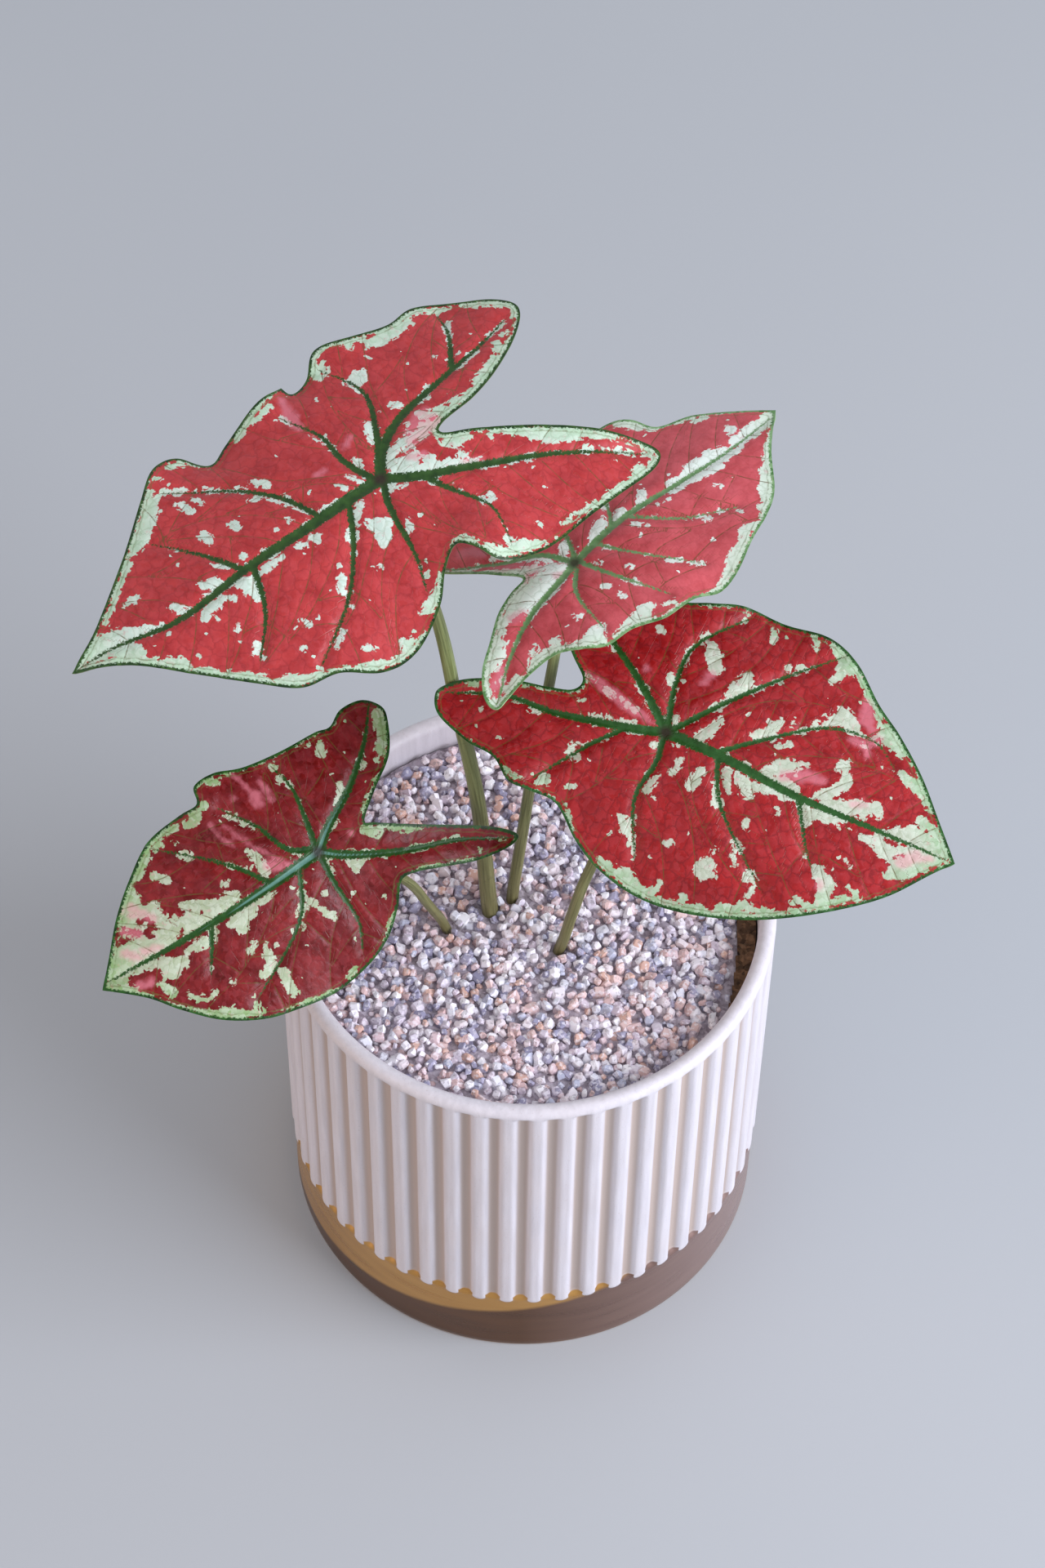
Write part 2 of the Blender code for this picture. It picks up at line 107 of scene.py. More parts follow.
def add(tree, kind, links, **settings):
    """Add a node. links gives its inputs a node, a socket, a value or a colour as sRGB hex."""
    node = tree.nodes.new("ShaderNode" + kind)
    for setting, value in settings.items():
        setattr(node, setting, value)
    for name, value in links.items():
        live = [i for i in node.inputs if i.enabled]
        target = live[name] if isinstance(name, int) else next(i for i in live if i.name == name)
        if isinstance(value, str):
            value = linear(value)
        if isinstance(value, bpy.types.Node):
            value = live_output(value)
        if isinstance(value, bpy.types.NodeSocket):
            tree.links.new(value, target)
        else:
            target.default_value = value
    return node


def finish(material, sockets):
    """Link nodes to the shader's own sockets, and hand the material back."""
    tree = material.node_tree
    for name, node in sockets.items():
        tree.links.new(live_output(node), tree.nodes["Principled BSDF"].inputs[name])
    return material


# %% [markdown]
# ## The pot
#
# The pot is slip-cast stoneware from a mould with ribs up its wall, and has a plain ring under
# the lip and a smooth band at the foot. A maker could carve each rib, or repeat one modelled rib
# 54 times. Here a plain profile is spun into a full wall and each of its points is then pushed
# in or out by a rule, so that grooves, round rib ends and wall stay one skin.

# %% Pot sizes
# They are the measured model's, but for a narrower rim ring and a little wider, longer ribs.
RIM_RADIUS = 65.0
POT_HEIGHT = 126.0
WALL = 4.5
FLOOR = 6.0
RIM_RING = 2.6
RIB_COUNT = 54
GROOVE_RADIUS = 63.3
BAND_RADIUS = 64.4
RIB_FOOT = 27.2
RIB_HALF = 2.45
BAND_TOP = 20.0
LIP_FOOT = 124.0
RECESS = 0.9
# Where one surface runs softly into the next, measured from the line between them.
RING_FADE = (-0.9, 0.3)
BAND_FADE = (-1.0, 1.6)
RIB_FADE = (-1.3, 0.8)
# How far over the rib foot a rib's round end has its centre, and how far its crown falls off sideways.
ROUND_END = 0.6
CROWN_FALL = 0.1
DRAIN_COUNT = 3
DRAIN_RADIUS = 4.0
DRAIN_RING = 32.0
SPIN_STEPS = RIB_COUNT * 14


def smooth_share(x, low, high):
    """0 below low, 1 above high, and a soft S between them."""
    t = min(1.0, max(0.0, (x - low) / (high - low)))
    return t * t * (3.0 - 2.0 * t)


# %% How far out the wall stands at one angle and height
def wall_radius(angle, z):
    """Radius of the ribbed wall. Each rib is a tongue that ends round at its foot."""
    pitch = 2.0 * math.pi / RIB_COUNT
    across = abs((angle + 0.5 * pitch) % pitch - 0.5 * pitch) * RIM_RADIUS
    ring = smooth_share(z, *(POT_HEIGHT - RIM_RING + edge for edge in RING_FADE))
    band = 1.0 - smooth_share(z, *(RIB_FOOT + edge for edge in BAND_FADE))
    valley = GROOVE_RADIUS + (BAND_RADIUS - GROOVE_RADIUS) * band
    below = max(0.0, RIB_FOOT + ROUND_END - z)
    gap = math.hypot(across, below) - RIB_HALF
    crown = 1.0 - smooth_share(gap, *RIB_FADE)
    rib = valley + (RIM_RADIUS - CROWN_FALL * (across / RIB_HALF) ** 2 - valley) * crown
    return rib + (RIM_RADIUS - rib) * ring


# %% Turn the pot
def pot_profile():
    """The pot's section from the middle of its underside, up the outside, and down inside."""
    low = [(r, RECESS) for r in (0.0, 20.0, 27.0, 32.0, 37.0, 45.0, 57.5)]
    low += [(58.6, 0.0), (63.5, 0.0), (64.1, 0.2), (BAND_RADIUS, RECESS)]
    steps = [2.5, 6, 10, 14, 18, 21, 23] + [24.0 + 0.4 * i for i in range(17)]
    steps += [31, 33, 38, 46, 56, 66, 76, 86, 96, 104, 111, 116, 118.5]
    steps += [121.6 + 0.3 * i for i in range(8)]
    wall = [(RIM_RADIUS, float(z)) for z in steps]
    half = 0.5 * WALL
    lip = [(RIM_RADIUS - half + half * math.cos(a), POT_HEIGHT - half + half * math.sin(a))
           for a in (math.pi * i / 12.0 for i in range(1, 13))]
    inside = [(60.4, 118.0), (60.3, 90.0), (60.1, 40.0), (60.0, FLOOR + 3.0), (58.0, FLOOR),
              (37.0, FLOOR), (27.0, FLOOR), (0.0, FLOOR)]
    return low + wall + lip + inside


def build_pot_shell():
    """The pot without its drain holes: the profile spun, then grooved and ribbed by the rule."""
    bm = bmesh.new()
    points = [bm.verts.new((r, 0.0, z)) for r, z in pot_profile()]
    edges = [bm.edges.new(pair) for pair in zip(points, points[1:])]
    bmesh.ops.spin(bm, geom=points + edges, cent=(0, 0, 0), axis=(0, 0, 1), dvec=(0, 0, 0),
                   angle=2.0 * math.pi, steps=SPIN_STEPS, use_merge=True, use_duplicate=False)
    bmesh.ops.remove_doubles(bm, verts=bm.verts, dist=0.001)
    for v in bm.verts:
        if abs(v.co.xy.length - RIM_RADIUS) > 0.01 or v.co.z >= LIP_FOOT:
            continue
        ribbed = v.co.z > BAND_TOP
        radius = wall_radius(math.atan2(v.co.y, v.co.x), v.co.z) if ribbed else BAND_RADIUS
        v.co.xy *= radius / RIM_RADIUS
    bmesh.ops.recalc_face_normals(bm, faces=bm.faces)
    return bm


# %% Drill the drain holes
def drilled(bm, holes):
    """The same solid with upright round holes (x, y, radius) cut through its floor."""
    block = bpy.data.objects.new("block", bpy.data.meshes.new("block"))
    bm.to_mesh(block.data)
    bm.free()
    bits = bmesh.new()
    for x, y, radius in holes:
        bmesh.ops.create_cone(bits, cap_ends=True, segments=48, radius1=radius, radius2=radius,
                              depth=3.0 * FLOOR, matrix=Matrix.Translation((x, y, 0.5 * FLOOR)))
    drill = bpy.data.objects.new("drill", bpy.data.meshes.new("drill"))
    bits.to_mesh(drill.data)
    bits.free()
    for obj in (block, drill):
        bpy.context.scene.collection.objects.link(obj)
    cut = block.modifiers.new("holes", "BOOLEAN")
    cut.operation = "DIFFERENCE"
    cut.solver = "EXACT"
    cut.object = drill
    done = bmesh.new()
    done.from_object(block, bpy.context.evaluated_depsgraph_get())
    for obj in (block, drill):
        mesh = obj.data
        bpy.data.objects.remove(obj)
        bpy.data.meshes.remove(mesh)
    return done


# %% [markdown]
# ## The pot's finish
#
# The glaze is a satin matt one: a pale blush on the crowns of the ribs, and a darker taupe in the
# grooves, which is painted shade. It gives broad soft highlights, and the painted shade gives each
# groove a clear line. The foot carries a bronze lustre, fired on in a thin metal film, so it is
# darker, shinier and uneven, and painted reflections lie on it: gold at its top on the left, mauve
# on the right. Two materials could meet at an edge of the mesh. Here one holds both, because the
# line between them follows the round rib ends, and a mask by height and radius draws that line
# sharper than the mesh could.

# %% Glaze
def glaze_and_groove_shade(tree, place, radius, z, streak, grit):
    """Pale blush on the rib crowns, the lip and the inside, and a darker taupe in the grooves as painted
    shade.
    """
    crown = add(tree, "MapRange", {0: radius, 1: MM * GROOVE_RADIUS, 2: MM * BAND_RADIUS},
                interpolation_type="SMOOTHSTEP")
    inside = add(tree, "MapRange", {0: radius, 1: MM * (GROOVE_RADIUS - 0.9),
                                    2: MM * (GROOVE_RADIUS - 1.5)})
    lip = add(tree, "MapRange", {0: z, 1: MM * (POT_HEIGHT - 3.6), 2: MM * (POT_HEIGHT - 2.4)})
    crown = add(tree, "Math", {0: crown, 1: inside}, operation="MAXIMUM")
    crown = add(tree, "Math", {0: crown, 1: lip}, operation="MAXIMUM")
    brushed = add(tree, "MapRange", {0: streak, 1: 0.3, 2: 0.7})
    pale = add(tree, "Mix", {0: brushed, 1: "#C9C5CB", 2: "#D6D2D8"}, data_type="RGBA")
    # Clouds some 17 mm wide are a touch warmer.
    cloud = add(tree, "TexNoise", {"Vector": place, "Scale": 60.0, "Detail": 4.0})
    cloud = add(tree, "MapRange", {0: cloud, 1: 0.35, 2: 0.7, 4: 0.35})
    pale = add(tree, "Mix", {0: cloud, 1: pale, 2: "#CEC6C6"}, data_type="RGBA")
    # The taupe in the grooves is painted shade.
    glaze = add(tree, "Mix", {0: crown, 1: "#B3A39A", 2: pale}, data_type="RGBA")
    # Grit in the body shows through as specks 0.4 mm wide.
    speck = add(tree, "MapRange", {0: grit, 1: 0.66, 2: 0.72, 4: 0.3})
    return add(tree, "Mix", {0: speck, 1: glaze, 2: "#9C8478"}, data_type="RGBA")


# %% Lustre
LUSTRE_TOP = 28.3


def lustre_and_reflection_colour(tree, x, edge, film):
    """Brown round the foot, with a painted mauve reflection of the window on the right and a painted gold
    reflection above the brown at the left.
    """
    brown = add(tree, "Mix", {0: film, 1: "#60412B", 2: "#6A4931"}, data_type="RGBA")
    # The mauve on the right is a painted reflection of the window.
    mauve = add(tree, "Mix", {0: film, 1: "#9C7F79", 2: "#A88D86"}, data_type="RGBA")
    window_reflection_share = add(tree, "MapRange", {0: x, 1: 0.0, 2: 0.060})
    brown = add(tree, "Mix", {0: window_reflection_share, 1: brown, 2: mauve}, data_type="RGBA")
    gold = add(tree, "Mix", {0: film, 1: "#BC8B49", 2: "#C99A58"}, data_type="RGBA")
    # The painted gold reflection's lower line rises from 5 mm at the far left to 27.5 mm on the right of
    # the front.
    line = add(tree, "MapRange", {0: x, 1: -0.064, 2: 0.026, 3: 0.005, 4: 0.0275}, clamp=False)
    gold_reflection_share = add(tree, "Math", {0: edge, 1: line}, operation="SUBTRACT")
    gold_reflection_share = add(tree, "MapRange", {0: gold_reflection_share, 1: -0.001, 2: 0.0012}, interpolation_type="SMOOTHSTEP")
    return add(tree, "Mix", {0: gold_reflection_share, 1: brown, 2: gold}, data_type="RGBA")


# %% The pot's one material
def pot_material():
    material, tree = new_material("satin_blush_glaze_and_bronze_lustre", {"IOR": 1.5})
    place = add(tree, "TexCoord", {}).outputs["Object"]
    x, y, z = add(tree, "SeparateXYZ", {0: place}).outputs
    flat = add(tree, "CombineXYZ", {0: x, 1: y})
    radius = add(tree, "VectorMath", {0: flat}, operation="LENGTH").outputs["Value"]
    # Brushed-on glaze leaves upright streaks about 1.5 mm wide and 20 mm long.
    stretched = add(tree, "Mapping", {"Vector": place, "Scale": (650.0, 650.0, 50.0)})
    streak = add(tree, "TexNoise", {"Vector": stretched, "Scale": 1.0, "Detail": 3.0})
    grit = add(tree, "TexNoise", {"Vector": place, "Scale": 2400.0})
    glaze = glaze_and_groove_shade(tree, place, radius, z, streak, grit)
    # The lustre ends just over the rib feet, keeps off the crowns and wavers by 0.4 mm.
    waver = add(tree, "TexNoise", {"Vector": place, "Scale": 400.0})
    edge = add(tree, "Math", {0: waver, 1: 0.0004, 2: z}, operation="MULTIPLY_ADD")
    under = add(tree, "MapRange", {0: edge, 1: MM * (LUSTRE_TOP + 0.2), 2: MM * (LUSTRE_TOP - 0.2)})
    off_rib = add(tree, "MapRange", {0: radius, 1: MM * (RIM_RADIUS - 0.28), 2: MM * (RIM_RADIUS - 0.38)})
    lustre = add(tree, "Math", {0: under, 1: off_rib}, operation="MULTIPLY")
    # Its thin metal film was brushed round the pot, in strokes 25 mm long and 3 mm high.
    brushed = add(tree, "Mapping", {"Vector": place, "Scale": (40.0, 40.0, 300.0)})
    film = add(tree, "TexNoise", {"Vector": brushed, "Scale": 1.0, "Detail": 1.0})
    film = add(tree, "MapRange", {0: film, 1: 0.3, 2: 0.7})
    lustre_and_reflections = lustre_and_reflection_colour(tree, x, edge, film)
    colour = add(tree, "Mix", {0: lustre, 1: glaze, 2: lustre_and_reflections}, data_type="RGBA")
    # The underside is wiped bare before firing and shows the sandy body.
    bare = add(tree, "MapRange", {0: z, 1: 0.0011, 2: 0.0008})
    sand = add(tree, "Mix", {0: grit, 1: "#9A7B64", 2: "#C9AE97"}, data_type="RGBA")
    colour = add(tree, "Mix", {0: bare, 1: colour, 2: sand}, data_type="RGBA")
    glazed = add(tree, "Math", {0: 1.0, 1: bare}, operation="SUBTRACT")
    metal = add(tree, "Math", {0: lustre, 1: 0.65}, operation="MULTIPLY")
    metal = add(tree, "Math", {0: metal, 1: glazed}, operation="MULTIPLY")
    satin = add(tree, "MapRange", {0: streak, 1: 0.2, 2: 0.8, 3: 0.42, 4: 0.54})
    shiny = add(tree, "MapRange", {0: film, 3: 0.26, 4: 0.34})
    rough = add(tree, "Mix", {0: lustre, 1: satin, 2: shiny})
    rough = add(tree, "Mix", {0: bare, 1: rough, 2: 0.9})
    strength = add(tree, "MapRange", {0: lustre, 3: 0.25, 4: 0.06})
    relief = add(tree, "Math", {0: streak, 1: 0.6, 2: grit}, operation="MULTIPLY_ADD")
    relief = add(tree, "Bump", {"Strength": strength, "Distance": 0.0002, "Height": relief})
    links = {"Base Color": colour, "Metallic": metal, "Roughness": rough, "Normal": relief}
    return finish(material, links)


GLAZE = pot_material()

# %% Make the pot
DRAIN_ANGLES = [math.radians(90.0 + 360.0 * i / DRAIN_COUNT) for i in range(DRAIN_COUNT)]
DRAINS = [(DRAIN_RING * math.cos(a), DRAIN_RING * math.sin(a), DRAIN_RADIUS) for a in DRAIN_ANGLES]
make_piece("glazed_pot", drilled(build_pot_shell(), DRAINS), GLAZE, "pot", 50.0)

# %% [markdown]
# ## Stalk routes
#
# A caladium's stalks all rise from the tuber, lean out under the weight of their blades and bend
# to meet them from below. Each could be drawn as a Bezier curve with handles. Here a route is a
# few points taken from the measured model with a smooth curve through them, which is easier to
# keep true to it. The stalks come before the gravel, because the stones lie round their feet.

# %% The four leaves as the measured model has them
# Each leaf lies in its own frame: u runs from the stalk to the tip along the midrib, v to its
# left. at is the top of the stalk, and turn is the frame's rotation about X, Y and Z in degrees.
# A wave lifts or lowers the blade round one point: u, v, its radius and its height. The outline
# is a list of runs, smooth within and with a corner where they meet. stalk lists the points that
# the stalk passes on its way up, the first two being the ends of its straight foot.
LEAVES = {
    "leaf_1": {
        "at": (-36.4, 22.9, 270.0), "turn": (-7.0, 3.0, -141.5),
        "length": 86.0, "droop": 8.0, "back_droop": 3.0, "fold": 0.18,
        "waves": [(27, -33, 9, -3.5), (42, -36, 9, 1.5), (9, -38, 7, 2.0), (0, -36, 6, -2.5),
                  (-14, -42, 10, 1.5), (-9, 28, 9, 4.5), (20, 41, 12, -3.0), (-28, 36, 10, -1.5),
                  (-46, -34, 10, -2.0), (-58, 30, 9, -2.0)],
        "outline": [
            [(86, -3), (75, -9), (60, -20), (48, -30), (40, -36), (33, -36), (28, -30), (22, -32),
             (12, -35), (2, -37)],
            [(2, -37), (1, -34), (-4, -35), (-10, -40), (-20, -38), (-29, -36), (-37, -37),
             (-46, -33), (-54, -27), (-57, -21), (-52, -15), (-42, -9), (-31, -5), (-21, -3.5),
             (-19, -1), (-27, 3), (-41, 11), (-53, 20), (-60, 28), (-59, 32), (-50, 34),
             (-34, 35), (-20, 36), (-10, 34), (-6, 28), (-3, 25), (2, 28), (8, 34), (18, 39),
             (28, 39), (37, 34), (46, 32), (54, 25), (64, 15), (75, 4), (86, -3)],
        ],
        "veins": [
            [(0, 0), (20, 1), (38, 1), (59, 2), (75, -2), (85, -3)],
            [(0, 0), (-5, -6), (-14, -11), (-27, -14), (-42, -17), (-52, -20)],
            [(0, 0), (-8, 5), (-20, 10), (-37, 17), (-57, 28)],
            [(-33, -16), (-39, -25), (-41, -32)],
            [(-8, 5), (-12, 12), (-17, 21), (-15, 31)],
            [(1, 0), (4, -9), (4, -19), (8, -29)],
            [(-1, -2), (-7, -11), (-12, -23), (-8, -35)],
            [(18, 0), (22, -10), (30, -20), (42, -29)],
            [(40, 1), (46, -10), (52, -19)],
            [(0, 1), (3, 8), (5, 20), (8, 29)],
            [(10, 1), (16, 11), (25, 21), (39, 30)],
            [(38, 2), (42, 12), (50, 21)],
        ],
        "stalk": [(-8.6, 1.0, 103.0), (-10.2, 3.6, 120.0), (-13.2, 8.6, 158.0),
                  (-18.2, 12.8, 191.0), (-23.0, 17.0, 222.0), (-31.5, 21.5, 254.0)],
    },
    "leaf_2": {
        "at": (9.6, 21.2, 242.0), "turn": (-9.0, -8.0, 41.4),
        "length": 66.0, "droop": 7.0, "back_droop": 3.0, "fold": 0.18,
        "waves": [(38, 29, 8, 2.5), (20, 32, 9, -2.0), (-14, -21, 7, 2.0), (20, -31, 8, -2.0),
                  (34, -25, 8, 1.5), (-38, -16, 8, -2.0), (-20, 28, 9, -2.0)],
        "outline": [
            [(67, 3), (60, 10), (52, 17), (43, 20), (40, 26), (34, 30), (25, 33), (14, 33),
             (2, 34), (-10, 37), (-20, 38), (-25, 35), (-23, 29), (-19, 19), (-15, 11), (-12, 5),
             (-17, 3.5), (-23, 1), (-30, -4), (-36, -8), (-40, -13), (-40, -17), (-36, -17),
             (-28, -17), (-21, -18), (-16, -22), (-11, -25), (-3, -25), (5, -28), (14, -28),
             (20, -30), (27, -29), (34, -26), (42, -22), (49, -17), (57, -7), (67, 3)],
        ],
        "veins": [
            [(0, 0), (17, 1), (34, 0), (49, 0), (64, 2)],
            [(0, 0), (-6, -2), (-18, -5), (-29, -10), (-39, -16)],
            [(0, 0), (-4, 8), (-12, 14), (-20, 25), (-23, 32)],
            [(-1, -2), (-6, -8), (-8, -20)],
            [(1, -1), (4, -10), (10, -23)],
            [(7, 0), (12, -9), (22, -22)],
            [(18, 0), (27, -9), (39, -15)],
            [(13, 1), (17, 8), (20, 20)],
            [(1, 1), (4, 9), (3, 22)],
        ],
        "stalk": [(-4.8, 4.8, 103.0), (-3.8, 7.7, 120.0), (-1.7, 10.2, 142.0), (1.0, 13.2, 170.0),
                  (4.4, 16.4, 199.0), (7.6, 19.6, 226.0)],
    },
    "leaf_3": {
        "at": (32.9, -2.2, 205.0), "turn": (23.0, 6.0, -24.3),
        "length": 77.0, "droop": 7.0, "back_droop": 3.0, "fold": 0.18,
        "waves": [(30, 39, 10, 2.0), (10, 39, 9, -2.0), (-28, -26, 8, 2.5), (-52, -14, 9, -1.5),
                  (12, -39, 12, -2.0), (50, -26, 10, 1.5), (-34, 34, 9, -2.0)],
        "outline": [
            [(77, 1), (69, 9), (61, 17), (52, 24), (44, 29), (35, 36), (26, 39), (15, 38),
             (4, 38), (-4, 35), (-12, 32), (-24, 33), (-34, 33), (-42, 29), (-43, 23), (-36, 15),
             (-29, 8), (-24, 3.5), (-25, 0), (-31, -2), (-40, -4), (-50, -8), (-55, -12),
             (-56, -15), (-53, -19), (-44, -22), (-36, -23), (-30, -27), (-24, -27), (-17, -27),
             (-9, -33), (-1, -37), (10, -39), (22, -38), (35, -34), (47, -28), (57, -21),
             (66, -13), (73, -4), (77, 1)],
        ],
        "veins": [
            [(0, 0), (17, 0), (35, -1), (57, 0), (76, 1)],
            [(0, 0), (-9, -3), (-27, -7), (-40, -8), (-54, -13)],
            [(0, 0), (-6, 5), (-16, 12), (-30, 20), (-40, 26)],
            [(-9, -3), (-16, -11), (-25, -24)],
            [(0, 1), (-3, 12), (-3, 23), (6, 36)],
            [(1, 1), (11, 14), (21, 26), (31, 36)],
            [(13, 0), (22, 8), (35, 18), (47, 20), (54, 16)],
            [(0, -1), (1, -8), (0, -18), (6, -31)],
            [(14, 0), (20, -11), (37, -25)],
            [(36, -1), (42, -10), (46, -15)],
        ],
        "stalk": [(5.6, -6.8, 102.0), (9.2, -9.2, 120.0), (12.9, -7.8, 139.0), (16.0, -6.7, 152.0),
                  (24.5, -4.6, 182.0)],
    },
    "leaf_4": {
        "at": (-52.5, -14.5, 168.0), "turn": (-32.0, 9.0, -143.0),
        "length": 64.0, "droop": 11.0, "back_droop": 3.0, "fold": 0.24,
        "waves": [(17, -29, 7, 2.0), (26, -27, 7, -2.0), (-30, -25, 8, -2.0), (-15, 20, 7, 2.5),
                  (12, 32, 10, -2.0), (40, 22, 9, 1.5), (-42, 24, 8, -2.0)],
        "outline": [
            [(63, -2), (58, -7), (50, -15), (42, -21), (33, -26), (23, -27), (18, -27),
             (16, -31), (10, -31), (3, -28), (-7, -26), (-17, -25), (-21, -24), (-26, -26),
             (-32, -25), (-35, -21), (-34, -17), (-29, -10), (-21, -5), (-14, 0), (-16, 2),
             (-24, 8), (-34, 15), (-42, 21), (-46, 26), (-42, 27), (-33, 25), (-24, 21),
             (-17, 18), (-13, 18), (-9, 23), (-3, 28), (5, 31), (15, 32), (25, 30), (34, 27),
             (43, 21), (50, 13), (55, 6), (63, -2)],
        ],
        "veins": [
            [(0, 0), (20, 0), (40, -1), (62, -3)],
            [(0, 0), (-6, -4), (-16, -9), (-26, -16), (-33, -23)],
            [(0, 0), (-6, 5), (-18, 12), (-32, 18), (-45, 26)],
            [(0, -1), (6, -5), (9, -14), (14, -23)],
            [(0, -1), (-2, -8), (-4, -17), (-3, -24)],
            [(14, 0), (21, -11), (33, -24)],
            [(0, 1), (1, 9), (1, 20), (4, 27)],
            [(6, 0), (14, 12), (33, 22)],
            [(33, 1), (39, 10)],
        ],
        "stalk": [(-18.0, -2.0, 102.0), (-22.0, -3.6, 120.0), (-26.6, -7.1, 136.0),
                  (-31.0, -10.0, 149.0), (-41.0, -12.6, 160.5)],
    },
}


def smooth_run(points, step):
    """Points about step apart on a smooth curve through the given ones, ends included."""
    pts = [Vector(p) for p in points]
    pts = [2.0 * pts[0] - pts[1]] + pts + [2.0 * pts[-1] - pts[-2]]
    run = []
    for p0, p1, p2, p3 in zip(pts, pts[1:], pts[2:], pts[3:]):
        pieces = max(1, round((p2 - p1).length / step))
        for t in (k / pieces for k in range(pieces)):
            run.append(0.5 * (2.0 * p1 + (p2 - p0) * t
                              + (2.0 * p0 - 5.0 * p1 + 4.0 * p2 - p3) * t * t
                              + (3.0 * p1 - p0 - 3.0 * p2 + p3) * t * t * t))
    return run + [pts[-2]]


# %% Where each stalk runs
STALK_STEP = 8.0
TUBE_STEP = 1.6
STALK_END = 2.5
STALK_GAP = 2.05
SUNK_IN_BLADE = 1.0


def leaf_turn(leaf):
    return Euler([math.radians(a) for a in leaf["turn"]])


def stalk_route(leaf):
    """A straight foot in soil and gravel, a smooth rise, and a short end square to the blade."""
    out = leaf_turn(leaf).to_matrix() @ Vector((0.0, 0.0, 1.0))
    top = Vector(leaf["at"]) - STALK_GAP * out
    root = Vector(leaf["stalk"][0])
    rise = smooth_run(leaf["stalk"][1:] + [top - STALK_END * out], STALK_STEP)
    return smooth_run([root] + rise, TUBE_STEP) + [top, top + SUNK_IN_BLADE * out]


ROUTES = {name: stalk_route(leaf) for name, leaf in LEAVES.items()}
for name, route in ROUTES.items():
    print(name, "stalk", round(sum((b - a).length for a, b in zip(route, route[1:]))), "mm")

# %% [markdown]
# ## The stalks
#
# A caladium stalk is a juicy leaf stem: thick where it leaves the soil, slim at the top, with
# fine ribs along it and a small collar where it joins the blade from below. A bevelled curve
# would give an even tube. Here a circle is extruded from point to point of the route, turned
# square to it and scaled each time, so that taper, ribs and collar are one skin.

# %% Stalk tubes
STALK_RADII = {"leaf_1": (2.2, 1.4), "leaf_2": (1.6, 1.3), "leaf_3": (1.5, 1.3), "leaf_4": (1.3, 1.2)}
STALK_SIDES = 20
STALK_RIBS = 5.0
RIB_SHARE = 0.02
EVEN_FOOT = 17.0
COLLAR_SWELL = 0.55
COLLAR_FROM, COLLAR_TO = 4.5, 0.5


def stalk_tube(route, low, high):
    """A tube along the route from radius low to high, with its length kept for the pattern."""
    bm = bmesh.new()
    along = bm.verts.layers.float_vector.new("stem")
    start = bmesh.ops.create_circle(bm, cap_ends=True, segments=STALK_SIDES, radius=1.0)
    ring = start["verts"]
    edges = list({e for v in ring for e in v.link_edges})
    flat = [v.co.copy() for v in ring]
    axis = Vector((0.0, 0.0, 1.0))
    turn = Matrix.Identity(3)
    reach = sum((b - a).length for a, b in zip(route, route[1:]))
    run = 0.0
    for i, point in enumerate(route):
        ahead = (route[min(i + 1, len(route) - 1)] - route[max(i - 1, 0)]).normalized()
        turn = axis.rotation_difference(ahead).to_matrix() @ turn
        axis = ahead
        if i:
            run += (point - route[i - 1]).length
            grown = bmesh.ops.extrude_edge_only(bm, edges=edges)["geom"]
            fresh = {g for g in grown if isinstance(g, bmesh.types.BMVert)}
            edges = [g for g in grown if isinstance(g, bmesh.types.BMEdge) and fresh >= set(g.verts)]
            ring = [next(e.other_vert(v) for e in v.link_edges if e.other_vert(v) in fresh)
                    for v in ring]
        share = max(0.0, min(1.0, (run - EVEN_FOOT) / (reach - EVEN_FOOT)))
        radius = low + (high - low) * share
        radius += COLLAR_SWELL * smooth_share(run, reach - COLLAR_FROM, reach - COLLAR_TO)
        for k, v in enumerate(ring):
            ripple = 1.0 + RIB_SHARE * math.cos(STALK_RIBS * 2.0 * math.pi * k / STALK_SIDES)
            v.co = point + turn @ (flat[k] * radius * ripple)
            v[along] = (flat[k].x, flat[k].y, run)
    bmesh.ops.contextual_create(bm, geom=edges)
    bmesh.ops.recalc_face_normals(bm, faces=bm.faces)
    return bm


# %% [markdown]
# ## The stalk's finish
#
# The skin is smooth, waxy and olive green, a little browner towards the ground, with pale and
# dark lines that run up it and a soft shine along its side. A painter would streak it lengthwise.
# The pattern reads the tube's own length and angle, so the lines bend with the stalk.

